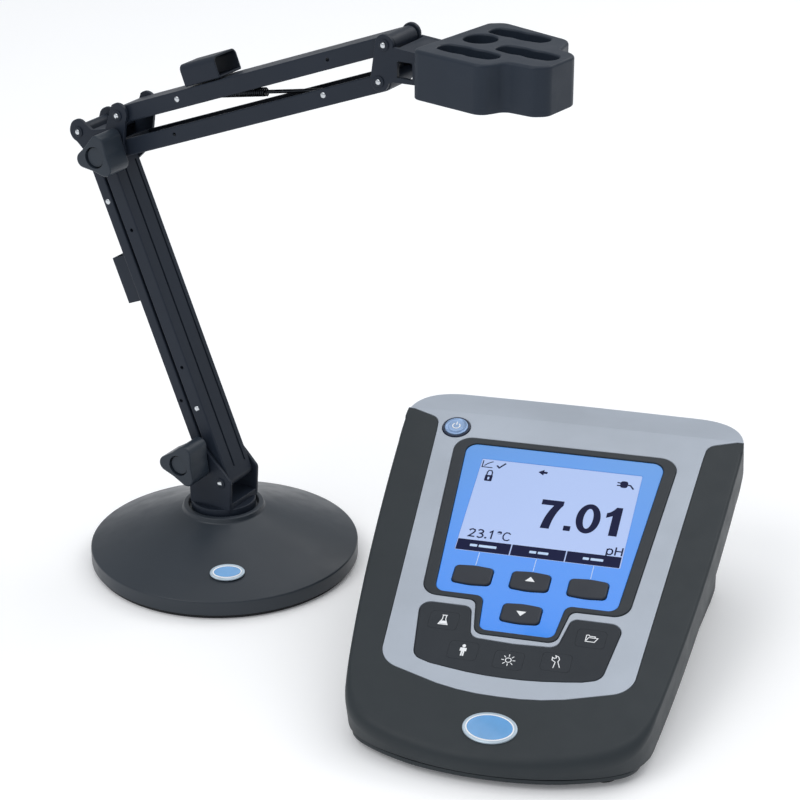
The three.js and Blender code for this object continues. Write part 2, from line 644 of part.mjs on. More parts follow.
// ---------------------------------------------------------------- stand: springs and clips
// A coil spring's outer form between two pins: a hooked wire at each end of a thick middle.
function barAlong(from, to, t0, t1, r, sides = 12) {
  const dir = to.clone().sub(from).normalize();
  const geometry = new THREE.CylinderGeometry(r, r, t1 - t0, sides);
  geometry.translate(0, (t0 + t1) / 2, 0);
  geometry.rotateX(Math.PI / 2).rotateY(Math.PI / 2 - dir.angle());
  return solid(geometry.translate(from.x, 0, from.y));
}

const lineUp = (from, to, t, h) => strip(from, to, t, t + 1, h, h + 1)[0];
const lowTop = lineUp(A, P1, 139, 0);
const lowBottom = lineUp(B, P3, 41, 0);
const lowSpan = lowTop.distanceTo(lowBottom);
add(stand, 'spring_lower', join(
  barAlong(lowTop, lowBottom, 3, lowSpan - 3, 0.7, 8),
  barAlong(lowTop, lowBottom, lowSpan * 0.36, lowSpan * 0.84, 2.2)), STEEL);
const highTop = lineUp(P2, H1, 37.6, 0);
const highBottom = lineUp(P4, H2, 131.6, 0);
const highSpan = highTop.distanceTo(highBottom);
add(stand, 'spring_upper', cut(
  join(barAlong(highTop, highBottom, 3, highSpan * 0.2, 0.7, 8),
    barAlong(highTop, highBottom, highSpan * 0.18, highSpan * 0.6, 2.4)),
  barAlong(highTop, highBottom, highSpan * 0.3, highSpan, 1.5)), STEEL);
add(stand, 'spring_rod', barAlong(highTop, highBottom, highSpan * 0.4, highSpan - 3, 1), STEEL);

// A cable clip: a short rounded tube beside a link, from h0 to h1 across it.
function clip(from, to, t0, t1, h0, h1, half, round) {
  const skin = 1;
  const dir = to.clone().sub(from).normalize();
  const place = new THREE.Matrix4().makeBasis(
    new THREE.Vector3(0, 1, 0), new THREE.Vector3(-dir.y, 0, dir.x), new THREE.Vector3(dir.x, 0, dir.y));
  place.setPosition(from.x, 0, from.y);
  const tube = (shrink, more) => {
    const [x, low, high, r] = [half - shrink, h0 + shrink, h1 - shrink, round - shrink];
    const outline = rounded([[-x, low, 0], [x, low, 0], [x, high, r], [-x, high, r]]);
    return solid(prismGeometry(outline, t0 - more, t1 + more).applyMatrix4(place));
  };
  return cut(tube(0, 0), tube(skin, 5));
}

add(stand, 'cable_clip_lower', clip(
  A, P1, 84.6, 109.6, REAR_HALF_LINK + GAP, REAR_HALF_LINK + 11.6, 7, 1.6), ARM);
add(stand, 'cable_clip_upper', clip(
  P2, H1, 44.4, 66.4, UPPER_HALF_LINK + GAP, UPPER_HALF_LINK + 11.2, 9.6, 3), ARM);

// ---------------------------------------------------------------- the set
const set = new THREE.Group();
set.add(meter, stand);
set.updateMatrixWorld(true);
const bounds = new THREE.Box3().setFromObject(set, true);
set.position.set(-(bounds.min.x + bounds.max.x) / 2, -(bounds.min.y + bounds.max.y) / 2, -bounds.min.z);

export default set;
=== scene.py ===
import json
import math

import bmesh
import bpy
from mathutils import Matrix, Vector
from mathutils.geometry import tessellate_polygon


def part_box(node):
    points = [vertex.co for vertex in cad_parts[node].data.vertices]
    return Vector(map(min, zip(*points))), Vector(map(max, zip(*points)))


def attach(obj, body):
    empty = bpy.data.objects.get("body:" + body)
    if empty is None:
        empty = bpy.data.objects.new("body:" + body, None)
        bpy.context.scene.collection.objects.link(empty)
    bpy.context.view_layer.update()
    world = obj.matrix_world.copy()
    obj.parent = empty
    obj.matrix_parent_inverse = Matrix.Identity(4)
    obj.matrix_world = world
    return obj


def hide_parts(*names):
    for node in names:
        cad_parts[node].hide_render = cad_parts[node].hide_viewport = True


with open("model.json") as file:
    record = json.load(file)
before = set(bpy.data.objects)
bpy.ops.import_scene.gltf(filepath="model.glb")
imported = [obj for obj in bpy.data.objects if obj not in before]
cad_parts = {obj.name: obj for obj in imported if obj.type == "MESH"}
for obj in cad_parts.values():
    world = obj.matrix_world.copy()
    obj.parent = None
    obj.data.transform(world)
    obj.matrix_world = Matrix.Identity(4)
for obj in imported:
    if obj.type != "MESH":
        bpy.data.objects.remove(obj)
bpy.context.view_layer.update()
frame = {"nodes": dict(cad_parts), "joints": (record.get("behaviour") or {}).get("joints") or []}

scene = bpy.context.scene
joints = {j["name"]: j for j in frame["joints"]}


def linked(name, data):
    made = bpy.data.objects.new(name, data)
    scene.collection.objects.link(made)
    return made


# --- local frames, in millimetres
MM = Matrix.Scale(0.001, 4)


def middle(node):
    low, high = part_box(node)
    return (low + high) / 2


def shift(x, y, z):
    return Matrix.Translation((x, y, z))


def turn(degrees, axis):
    return Matrix.Rotation(math.radians(degrees), 4, axis)


door = middle("battery_door")
METER = shift(door.x, door.y - 0.039, 0) @ MM
TILT, PANEL_Y, PANEL_Z = 19, -117.5, 15  # the panel's slope, and the place on its centre line where it starts
PANEL = METER @ shift(0, PANEL_Y, PANEL_Z) @ turn(TILT, "X")
pad = middle("stand_base_pad")
arm_axis = joints["lower_arm"]["axis"]
STAND = shift(pad.x, pad.y, 0) @ turn(math.degrees(math.atan2(-arm_axis[0], arm_axis[1])), "Z") @ MM
# An outline drawn along the arm and up, pushed out across the arm.
ACROSS = STAND @ turn(90, "X")
BLOCK = STAND @ shift(134.6, 0, 0) @ turn(-8, "Z")


def pin_place(joint):
    place = STAND.inverted() @ Vector(joints[joint]["pos_m"])
    return Vector((place.x, place.z))


A = pin_place("rear_link_pivot")
B = pin_place("lower_arm")
P3 = pin_place("elbow_level")
P4 = pin_place("upper_arm")
P2 = pin_place("upper_link_pivot")
H2 = pin_place("head_level")
P1 = A + P3 - B
H1 = P2 + H2 - P4


def link_frame(start, end):
    """x along the link, y across the arm, z square to the link."""
    along = end - start
    return STAND @ shift(start.x, 0, start.y) @ turn(-math.degrees(math.atan2(along.y, along.x)), "Y")


# --- camera
AZIMUTH, ELEVATION, DISTANCE = math.radians(14.65), math.radians(24.0), 1146.02
aim = Vector((-68.07, 0, 132.6))
back = Vector((math.sin(AZIMUTH) * math.cos(ELEVATION), -math.cos(AZIMUTH) * math.cos(ELEVATION),
               math.sin(ELEVATION)))
camera_data = bpy.data.cameras.new("camera")
camera_data.lens = 108
camera_data.sensor_width = 36
camera_data.clip_start = 0.05
camera_data.clip_end = 20
camera = linked("camera", camera_data)
camera.location = METER @ (aim + back * DISTANCE)
camera.rotation_mode = "QUATERNION"
camera.rotation_quaternion = (-back).to_track_quat("-Z", "Y")
scene.camera = camera


# --- finishes
def linear(rgb):
    """An 8-bit sRGB colour as linear light."""
    parts = [c / 255 for c in rgb]
    return tuple(p / 12.92 if p < 0.04045 else ((p + 0.055) / 1.055) ** 2.4 for p in parts) + (1,)


class Finish:
    """A Principled material whose colour, roughness and bump come from object-space noise."""

    def __init__(self, name, colour, rough, metal=0.0, coat=0.0, specular=0.5):
        self.material = bpy.data.materials.new(name)
        self.material.use_nodes = True
        self.tree = self.material.node_tree
        self.shader = self.tree.nodes["Principled BSDF"]
        self.shader.inputs["Metallic"].default_value = metal
        self.shader.inputs["Coat Weight"].default_value = coat
        self.shader.inputs["Coat Roughness"].default_value = 0.08
        self.shader.inputs["Specular IOR Level"].default_value = specular
        self.shader.inputs["Roughness"].default_value = rough
        self.shader.inputs["Base Color"].default_value = linear(colour)
        self.colour = colour
        self.rough = rough
        self.place = self.node("ShaderNodeTexCoord").outputs["Object"]
        self.height = None

    def node(self, kind, **settings):
        made = self.tree.nodes.new(kind)
        for key, value in settings.items():
            setattr(made, key, value)
        return made

    def link(self, out, into):
        self.tree.links.new(out, into)

    def noise(self, scale, detail):
        made = self.node("ShaderNodeTexNoise")
        made.inputs["Scale"].default_value = scale
        made.inputs["Detail"].default_value = detail
        self.link(self.place, made.inputs["Vector"])
        return made.outputs["Fac"]

    def spread(self, value, low, high, out_low, out_high):
        made = self.node("ShaderNodeMapRange")
        for key, number in zip(("From Min", "From Max", "To Min", "To Max"), (low, high, out_low, out_high)):
            made.inputs[key].default_value = number
        self.link(value, made.inputs["Value"])
        return made.outputs["Result"]

    def blend_colours(self, value, stops):
        made = self.node("ShaderNodeValToRGB")
        ramp = made.color_ramp
        while len(ramp.elements) < len(stops):
            ramp.elements.new(0.5)
        for element, (place, colour) in zip(ramp.elements, stops):
            element.position = place
            element.color = linear(colour)
        self.link(value, made.inputs["Fac"])
        return made.outputs["Color"]

    def mottle(self, scale, amount):
        """The colour drifts a little over the surface."""
        low = [c * (1 - amount) for c in self.colour]
        high = [min(255, c * (1 + amount)) for c in self.colour]
        value = self.noise(scale, 4)
        self.link(self.blend_colours(value, [(0.3, low), (0.7, high)]), self.shader.inputs["Base Color"])
        return self

    def patchy(self, scale, amount):
        """The gloss drifts a little over the surface."""
        value = self.spread(self.noise(scale, 5), 0.3, 0.7, self.rough - amount, self.rough + amount)
        self.link(value, self.shader.inputs["Roughness"])
        return self

    def bump(self, scale, depth, strength=0.6):
        """Fine relief: scale in cells per metre, depth in micrometres."""
        made = self.node("ShaderNodeBump")
        made.inputs["Strength"].default_value = strength
        made.inputs["Distance"].default_value = depth * 1e-6
        self.link(self.noise(scale, 2), made.inputs["Height"])
        if self.height:
            self.link(self.height, made.inputs["Normal"])
        self.height = made.outputs["Normal"]
        self.link(self.height, self.shader.inputs["Normal"])
        return self

    def glow(self, colour, strength):
        self.shader.inputs["Emission Color"].default_value = linear(colour)
        self.shader.inputs["Emission Strength"].default_value = strength
        return self


def moulded(name, colour, rough, grain=2600, depth=60, **more):
    """Moulded plastic: fine spark grain, faint flow marks and slightly uneven gloss."""
    return Finish(name, colour, rough, **more).mottle(18, 0.035).patchy(90, 0.05).bump(
        grain, depth, 0.35).bump(140, 40, 0.15)


SILVER = moulded("silver_plastic", (171, 179, 190), 0.42, 3200, 30, metal=0.15, specular=0.45)
CHARCOAL = moulded("charcoal_plastic", (42, 48, 52), 0.5, 1900, 90, specular=0.3)
FRAME_DARK = moulded("frame_plastic", (38, 44, 50), 0.45, 2400, 60, specular=0.35)
PAD_RUBBER = moulded("pad_rubber", (41, 46, 52), 0.6, 2300, 80, specular=0.3)
KEY_RUBBER = moulded("key_rubber", (38, 43, 52), 0.5, 2600, 50, specular=0.4)
FOOT_RUBBER = moulded("foot_rubber", (30, 32, 35), 0.8, 1500, 100, specular=0.3)
DARK = moulded("dark_plastic", (28, 31, 36), 0.5, 2200, 60)
ARM = moulded("arm_plastic", (33, 40, 51), 0.45, 2100, 60, specular=0.22)
KNOB = moulded("knob_plastic", (41, 49, 58), 0.4, 1700, 80, specular=0.3)
BLOCK_PLASTIC = moulded("block_plastic", (37, 45, 56), 0.44, 2000, 70, specular=0.22)
BASE = moulded("base_paint", (49, 55, 62), 0.36, 2800, 30, specular=0.3)
NAVY = Finish("screen_ink", (10, 17, 58), 0.5, specular=0.15).mottle(60, 0.04).bump(2500, 10)
WHITE_INK = Finish("white_ink", (238, 240, 242), 0.5).mottle(90, 0.03).bump(3500, 10)
PALE_INK = Finish("pale_ink", (190, 214, 245), 0.45).mottle(90, 0.03).bump(3500, 10)
BOARD = Finish("board_laminate", (30, 104, 58), 0.45).mottle(120, 0.15).bump(900, 60)
CELL = Finish("cell_sleeve", (120, 126, 134), 0.35, metal=0.5).mottle(60, 0.08).bump(1200, 20)
STEEL = Finish("pin_steel", (205, 209, 213), 0.22, metal=1.0).mottle(80, 0.05).patchy(400, 0.06).bump(
    1600, 20)
WIRE = Finish("spring_wire", (60, 64, 70), 0.35, metal=0.8).mottle(200, 0.1).bump(2500, 20)
SOCKET = Finish("socket_metal", (190, 192, 195), 0.28, metal=1.0).mottle(120, 0.06).patchy(300, 0.07).bump(
    1500, 20)
CAST = Finish("cast_ballast", (72, 72, 74), 0.7, metal=0.6).mottle(90, 0.2).bump(700, 200)
RING = moulded("ring_plastic", (27, 38, 62), 0.35, 2400, 30)
BUTTON = Finish("button_metal", (142, 170, 208), 0.3, metal=0.35, coat=0.2).mottle(200, 0.06).patchy(
    300, 0.05).bump(1800, 20)
BADGE_RIM = Finish("badge_rim", (178, 193, 205), 0.3, metal=0.5).mottle(120, 0.05).bump(2200, 20)
BADGE_BLUE = Finish("badge_blue", (98, 160, 216), 0.22, coat=0.6).mottle(70, 0.05).bump(2600, 10)


def graded(name, stops, rough, low, high, coat):
    """Colour that shifts up the panel's slope, measured in metres along +Y."""
    made = Finish(name, stops[0][1], rough, coat=coat)
    split = made.node("ShaderNodeSeparateXYZ")
    made.link(made.place, split.inputs["Vector"])
    climb = made.spread(split.outputs["Y"], low, high, 0, 1)
    drift = made.spread(made.noise(14, 2), 0.3, 0.7, -0.12, 0.12)
    total = made.node("ShaderNodeMath", operation="ADD")
    made.link(climb, total.inputs[0])
    made.link(drift, total.inputs[1])
    made.link(made.blend_colours(total.outputs[0], stops), made.shader.inputs["Base Color"])
    return made.bump(1500, 10, 0.2)


lens_low, lens_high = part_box("display_lens")
# Painted light: the lens glows with its own blue although it is no lamp, which brightens it.
LENS = graded("blue_lens", [(0.0, (44, 126, 224)), (0.45, (56, 131, 219)), (1.0, (78, 137, 200))], 0.22,
              lens_low.y, lens_high.y, 0.35).glow((60, 140, 240), 0.18)
SCREEN = graded("screen", [(0.0, (168, 186, 229)), (1.0, (160, 180, 221))], 0.3, lens_low.y, lens_high.y,
                0.2).glow((160, 185, 235), 0.16)


# --- outlines
def vec(x, y):
    return Vector((x, y))


def dots(*pairs):
    return [vec(*q) for q in pairs]


def rounded(corners, steps=8):
    """Corners given as (x, y, fillet radius), as a closed outline."""
    outline = []
    for i, (x, y, r) in enumerate(corners):
        here = vec(x, y)
        if not r:
            outline.append(here)
            continue
        inward = (vec(*corners[i - 1][:2]) - here).normalized()
        outward = (vec(*corners[(i + 1) % len(corners)][:2]) - here).normalized()
        half = math.acos(max(-1, min(1, inward.dot(outward)))) / 2
        start = here + inward * (r / math.tan(half))
        end = here + outward * (r / math.tan(half))
        centre = here + (inward + outward).normalized() * (r / math.sin(half))
        first = math.atan2(*(start - centre).yx)
        sweep = math.atan2(*(end - centre).yx) - first
        sweep = (sweep + math.pi) % (2 * math.pi) - math.pi
        for k in range(steps + 1):
            angle = first + sweep * k / steps
            outline.append(centre + r * vec(math.cos(angle), math.sin(angle)))
    return outline


def mirrored(right):
    return right + [vec(-q.x, q.y) for q in reversed(right) if q.x > 1e-6]


def level(value, q):
    return value(q) if callable(value) else value


def inset(outline, amount):
    moved = []
    for i, here in enumerate(outline):
        one = (here - outline[i - 1]).normalized()
        two = (outline[(i + 1) % len(outline)] - here).normalized()
        side = (one + two).normalized()
        reach = level(amount, here) / max(0.5, one.dot(side))
        moved.append(vec(here.x - side.y * reach, here.y + side.x * reach))
    return moved


def stadium(start, end, r, steps=14):
    along = math.atan2(*(end - start).yx)
    outline = []
    for centre, begin in ((end, -math.pi / 2), (start, math.pi / 2)):
        for k in range(steps + 1):
            angle = along + begin + math.pi * k / steps
            outline.append(centre + r * vec(math.cos(angle), math.sin(angle)))
    return outline


def ellipse(cx, cy, rx, ry, steps=64):
    turns = [2 * math.pi * k / steps for k in range(steps)]
    return [vec(cx + rx * math.cos(a), cy + ry * math.sin(a)) for a in turns]


def rectangle(x0, x1, y0, y1, r=0.0, steps=6):
    return rounded([(x0, y0, r), (x1, y0, r), (x1, y1, r), (x0, y1, r)], steps)


def curve(points, steps):
    """A quadratic curve through three control points, without its first point."""
    a, b, c = dots(*points)
    return [a * (1 - t) ** 2 + b * 2 * t * (1 - t) + c * t * t for t in (k / steps for k in range(1, steps + 1))]


def ordered(outline, anticlockwise):
    area = sum(a.x * b.y - b.x * a.y for a, b in zip(outline, outline[1:] + outline[:1]))
    return outline if (area > 0) == anticlockwise else outline[::-1]


# --- meshes
def raw(name, points, faces, where):
    mesh = bpy.data.meshes.new(name)
    mesh.from_pydata([where @ Vector(q) for q in points], [], faces)
    work = bmesh.new()
    work.from_mesh(mesh)
    bmesh.ops.remove_doubles(work, verts=work.verts, dist=1e-6)
    bmesh.ops.dissolve_degenerate(work, edges=work.edges, dist=1e-7)
    bmesh.ops.recalc_face_normals(work, faces=work.faces)
    work.to_mesh(mesh)
    work.free()
    return linked(name, mesh)


def flat_cap(loops, first):
    """Triangles that close a set of loops: returns extra points and faces."""
    flat = [[Vector((q.x, q.y, 0)) for q in loop] for loop in loops]
    ids = [begin + i for loop, begin in zip(loops, first) for i in range(len(loop))]
    return [], [tuple(ids[i] for i in face) for face in tessellate_polygon(flat)]


def slab(name, where, outline, low, high, top=0.4, foot=0.4, holes=(), bore=None, steps=4, cap=flat_cap):
    """An outline pushed from low to high, with its upper and lower edges rounded over."""
    loops = [ordered(list(outline), True)] + [ordered(list(h), False) for h in holes]
    points, faces, low_ring, high_ring, low_first, high_first = [], [], [], [], [], []
    for number, loop in enumerate(loops):
        over = top if number == 0 or bore is None else bore
        rings = []
        arcs = [math.pi / 2 * k / steps for k in range(steps + 1)]
        for a in arcs:
            moved = inset(loop, lambda q: level(foot, q) * (1 - math.sin(a)))
            rings.append([(m, level(low, q) + level(foot, q) * (1 - math.cos(a))) for m, q in zip(moved, loop)])
        for a in arcs:
            moved = inset(loop, lambda q: level(over, q) * (1 - math.cos(a)))
            rings.append([(m, level(high, q) - level(over, q) * (1 - math.sin(a))) for m, q in zip(moved, loop)])
        begin = len(points)
        count = len(loop)
        for ring in rings:
            points.extend((m.x, m.y, z) for m, z in ring)
        for r in range(len(rings) - 1):
            for i in range(count):
                j = (i + 1) % count
                a, b = begin + r * count, begin + (r + 1) * count
                faces.append((a + i, a + j, b + j, b + i))
        low_ring.append([m for m, _ in rings[0]])
        low_first.append(begin)
        high_ring.append([m for m, _ in rings[-1]])
        high_first.append(begin + (len(rings) - 1) * count)
    faces.extend(flat_cap(low_ring, low_first)[1])
    extra, closing = cap(high_ring, high_first)
    shift_by = len(points)
    points.extend(extra)
    faces.extend(tuple(i if i >= 0 else shift_by - 1 - i for i in face) for face in closing)
    return raw(name, points, faces, where)


def lathe(name, where, profile, sides=96):
    """A round piece from a closed profile of (radius, height) points."""
    points, faces = [], []
    for k in range(sides):
        a = 2 * math.pi * k / sides
        points.extend((r * math.cos(a), r * math.sin(a), z) for r, z in profile)
    n = len(profile)
    for k in range(sides):
        for i in range(n):
            j, m = (i + 1) % n, (k + 1) % sides
            faces.append((k * n + i, k * n + j, m * n + j, m * n + i))
    return raw(name, points, faces, where)


def fillets(profile, steps=5):
    """A closed profile from (radius, height, fillet)."""
    return [(q.x, q.y) for q in rounded(profile, steps)]


def tube(name, where, path, r, sides=10):
    """A round wire along a path of points."""
    path = [Vector(q) for q in path]
    points, faces = [], []
    side = Vector((0.31, 0.83, 0.46))
    for i, here in enumerate(path):
        along = (path[min(i + 1, len(path) - 1)] - path[max(i - 1, 0)]).normalized()
        side = (side - along * side.dot(along)).normalized()
        up = along.cross(side)
        for k in range(sides):
            a = 2 * math.pi * k / sides
            points.append(here + (side * math.cos(a) + up * math.sin(a)) * r)
    for i in range(len(path) - 1):
        for k in range(sides):
            m = (k + 1) % sides
            faces.append((i * sides + k, i * sides + m, (i + 1) * sides + m, (i + 1) * sides + k))
    faces.append(tuple(range(sides)))
    faces.append(tuple((len(path) - 1) * sides + k for k in range(sides)))
    return raw(name, points, faces, where)


def settle(obj):
    """Applies what is on a piece, so that its mesh is final."""
    bpy.context.view_layer.update()
    final = bpy.data.meshes.new_from_object(obj.evaluated_get(bpy.context.evaluated_depsgraph_get()))
    obj.modifiers.clear()
    obj.data = final


def carve(obj, tools, operation="DIFFERENCE"):
    for tool in tools:
        cut = obj.modifiers.new("cut", "BOOLEAN")
        cut.operation = operation
        cut.solver = "EXACT"
        cut.object = tool
    settle(obj)
    for tool in tools:
        bpy.data.objects.remove(tool)
    return obj


def weld(obj, *others):
    return carve(obj, list(others), "UNION")


def merge(name, parts):
    """Several closed shells as one object."""
    work = bmesh.new()
    for part in parts:
        work.from_mesh(part.data)
        bpy.data.objects.remove(part)
    mesh = bpy.data.meshes.new(name)
    work.to_mesh(mesh)
    work.free()
    return linked(name, mesh)


def smooth(obj, angle=38, bevel=0.0, segments=2):
    mesh = obj.data
    mesh.polygons.foreach_set("use_smooth", [True] * len(mesh.polygons))
    mesh.set_sharp_from_angle(angle=math.radians(angle))
    if bevel:
        edge = obj.modifiers.new("edge", "BEVEL")
        edge.width = bevel * 0.001
        edge.segments = segments
        edge.limit_method = "ANGLE"
        edge.angle_limit = math.radians(angle)
        edge.harden_normals = True
    normals = obj.modifiers.new("normals", "WEIGHTED_NORMAL")
    normals.keep_sharp = True


def finish(obj, material):
    obj.data.materials.clear()
    obj.data.materials.append(material.material)


def dress(obj, body, material, nodes=(), angle=38, bevel=0.0):
    finish(obj, material)
    smooth(obj, angle, bevel)
    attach(obj, body)
    if nodes:
        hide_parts(*nodes)
    return obj


# --- meter: outer form
FRONT_V, REAR_V, SLAB, PARTING, GAP = -2.2, 243, 20, 5.6, 0.3
NOSE_Y, LOWER_SCALE = -116.7, 0.9337
SIN, COS = math.sin(math.radians(TILT)), math.cos(math.radians(TILT))
right_side = [vec(0, FRONT_V)]
for control in (((0, -2.2), (22, -2.2), (42, 4.4)), ((42, 4.4), (60, 9.8), (66.5, 18.5)),
                ((66.5, 18.5), (70.3, 23.3), (72.2, 33)), ((72.2, 33), (82.5, 100), (86.8, 196)),
                ((86.8, 196), (87.5, 204), (87.5, 216)), ((87.5, 216), (87.5, 243), (60, 243))):
    right_side += curve(control, 18)
PLAN = mirrored(right_side + dots((30, 243.4), (0, 243.6)))


def ease(x, low, high):
    t = max(0.0, min(1.0, (x - low) / (high - low)))
    return t * t * (3 - 2 * t)


def edge_at(v):
    """Half width of the plan at a place up the slope."""
    for a, b in zip(right_side, right_side[1:]):
        if a.y <= v <= b.y and a.x > 60:
            return a.x + (b.x - a.x) * (v - a.y) / (b.y - a.y)
    return 87.5


CREASE_EDGE, CREASE_SAG = 222, 7.4
REAR_DROP = -6.15
BAND_DEPTH = 7


def crease_v(u):
    return CREASE_EDGE - CREASE_SAG + CREASE_SAG * (u / edge_at(CREASE_EDGE)) ** 2


def top_height(q):
    """Height of the bezel over the panel's plane: flat, then falling away behind the crease."""
    start = crease_v(q.x)
    return 0 if q.y <= start else REAR_DROP * (q.y - start) / (REAR_V - start)


def shield(extra=0.0):
    corner = rounded([(38, 42.8, 0), (60.2 + extra, 49.8 - extra, 13 + extra), (60.2 + extra, 70, 0)], 10)[1:-1]
    edge = dots(*((u, v - extra) for u, v in ((0, 37), (10, 37.2), (20, 38.3), (30, 40.3), (38, 42.8)))) + corner
    edge += dots((64.8 + extra, 140), (68.7 + extra, 206))
    edge += curve(((69.1 + extra, 211), (69.5 + extra, 215.4 - extra), (73 + extra, 217 - extra)), 6)
    return edge


SEAM = 0.22
SKIRT_V = 220.92
STEP_V = SKIRT_V - SEAM
wing_right = [q for q in right_side if q.y < STEP_V - 0.1]
wing_right += [vec(edge_at(STEP_V), STEP_V), vec(edge_at(STEP_V + 0.02), STEP_V + 0.02)]
wing_right += [q for q in right_side if q.y > STEP_V + 0.3] + [vec(0, 243.6)]


def housing_low(q):
    return max(-SLAB, (PARTING + GAP - PANEL_Z - q.y * SIN) / COS)


def housing_high(q):
    return 0 if q.y < STEP_V + 0.01 else top_height(q) - BAND_DEPTH - 0.25


hole = shield(SEAM)
hole = mirrored([q for q in hole if q.x < 84] + dots((84, STEP_V), (84, STEP_V + 0.02), (84, 228), (0, 228)))
dress(slab("upper_housing_shell", PANEL, mirrored(wing_right), housing_low, housing_high,
           top=lambda q: 1.9 + 5 * (1 - ease(q.y, 8, 50)) if q.y < 214 else 0.35, foot=0.35, holes=[hole], bore=0.3,
           steps=6),
      "meter", CHARCOAL, ["upper_housing"])


# --- meter: silver bezel
def crease_cap(loops, first):
    """Closes the bezel's top in two faces that meet along the curved crease."""
    ring = loops[0]
    ends = sorted(range(len(ring)), key=lambda i: abs(ring[i].y - CREASE_EDGE) + abs(abs(ring[i].x) - 86))[:2]
    right, left = sorted(ends, key=lambda i: -ring[i].x)
    count, n = len(ring), 48
    line = [ring[right].lerp(ring[left], k / n) for k in range(1, n)]
    line = [vec(q.x, crease_v(q.x) + ring[right].y - crease_v(ring[right].x)) for q in line]
    extra = [(q.x, q.y, 0) for q in line]
    line_ids = [-1 - k for k in range(len(line))]
    around = [(left + k) % count for k in range((right - left) % count + 1)]
    behind = [(right + k) % count for k in range((left - right) % count + 1)]
    faces = []
    for ids, crease, holes in ((around, (line, line_ids), loops[1:]),
                               (behind, (line[::-1], line_ids[::-1]), [])):
        loop = [ring[i] for i in ids] + crease[0]
        names = [first[0] + i for i in ids] + crease[1]
        for inner, begin in zip(holes, first[1:]):
            names += list(range(begin, begin + len(inner)))
        flat = [[Vector((q.x, q.y, 0)) for q in points] for points in [loop, *holes]]
        faces += [tuple(names[i] for i in face) for face in tessellate_polygon(flat)]
    return extra, faces


WINDOW = rounded([(19.5, 73.2, 5), (23, 94, 4), (50, 94.4, 8), (57.6, 203.6, 9),
                  (-57.6, 203.6, 9), (-50, 94.4, 8), (-23, 94, 4), (-19.5, 73.2, 5)], 10)
LENS_EDGE = rounded([(17.8, 76, 4), (20, 97.2, 4), (44.2, 97.2, 5), (51, 199.6, 6),
                     (-51, 199.6, 6), (-44.2, 97.2, 5), (-20, 97.2, 4), (-17.8, 76, 4)], 10)
PAD = mirrored(dots((0, 48.5), (9, 48.7), (18, 49.4), (27, 50.6)) + rounded(
    [(0, 45, 0), (36, 52, 0), (44.6, 54.8, 6.5), (49.4, 89.6, 5.5), (24.4, 89.6, 4), (20.8, 70.5, 5),
     (0, 70, 0)], 10)[1:-1] + [vec(0, 69.6)])
POWER = vec(-59.2, 210)
silver_right = shield()
silver_right += [vec(84, SKIRT_V), vec(edge_at(SKIRT_V) - 0.01, SKIRT_V)]
silver_right += [vec(edge_at(CREASE_EDGE), CREASE_EDGE)]
silver_right += [q for q in right_side if q.y > CREASE_EDGE + 0.4] + dots((30, 243.4), (0, 243.6))


def silver_low(q):
    return top_height(q) - BAND_DEPTH if abs(q.x) > 80 and q.y > SKIRT_V - 0.1 or q.y > 230 else -3


dress(slab("silver_bezel", PANEL, mirrored(silver_right), silver_low, top_height,
           top=lambda q: 2.4 if q.y > SKIRT_V + 0.1 else 0.3, foot=0.2,
           holes=[inset(WINDOW, -0.2), inset(PAD, -0.2), ellipse(*POWER, 7.4, 7.4)], bore=0.45,
           steps=6, cap=crease_cap),
      "meter", SILVER, ["top_bezel"], angle=30)


# --- meter: lower housing
def underside(y):
    return PANEL_Z - SLAB * COS + (y - PANEL_Y - SLAB * SIN) * SIN / COS


def lower_inset(q):
    return 0.4 + 1.6 * ease(abs(q.x), 30, 60) + 8 * ease(q.y, 15, 70)


def lower_plan(more=0.0):
    outline = inset(PLAN, lambda q: lower_inset(q) + more)
    return [vec(q.x, NOSE_Y + (q.y - FRONT_V) * LOWER_SCALE) for q in outline]


lower = slab("lower_housing_shell", METER, lower_plan(), 3, lambda q: max(PARTING, underside(q.y) - GAP),
             top=0.3, foot=1.2, steps=5)
rear_y = max(q.y for q in lower_plan())
FEET = [(-52, -94), (52, -94), (-60, 84), (60, 84)]
CASE_SCREWS = [(-46, -60), (46, -60), (-50, 60), (50, 60)]
tools = [
    slab("t", METER, lower_plan(2.5), 5.5, lambda q: max(PARTING, underside(q.y)) + 30, 0.01, 0.01),
    slab("t", METER, rectangle(-34, 34, 4, 74, 2), 0, 20, 0.01, 0.01),
    slab("t", METER, rectangle(-58, 58, rear_y - 6, rear_y + 6), 14, 46, 0.01, 0.01),
] + [slab("t", METER, ellipse(x, y, 6.9, 6.9, 40), 0, 4.3, 0.01, 0.01) for x, y in FEET]
dress(carve(lower, tools), "meter", CHARCOAL, ["lower_housing"], angle=32, bevel=0.15)
for i, (x, y) in enumerate(FEET):
    foot_profile = fillets([(0, 0.4, 0), (4, 0.4, 0.2), (4.4, 0, 0.2), (6.3, 0, 0.8), (6.6, 4, 0.5), (0, 4, 0)])
    dress(lathe(f"rubber_foot_{i + 1}", METER @ shift(x, y, 0), foot_profile, 48), "meter",
          FOOT_RUBBER, [f"foot_{i + 1}"])
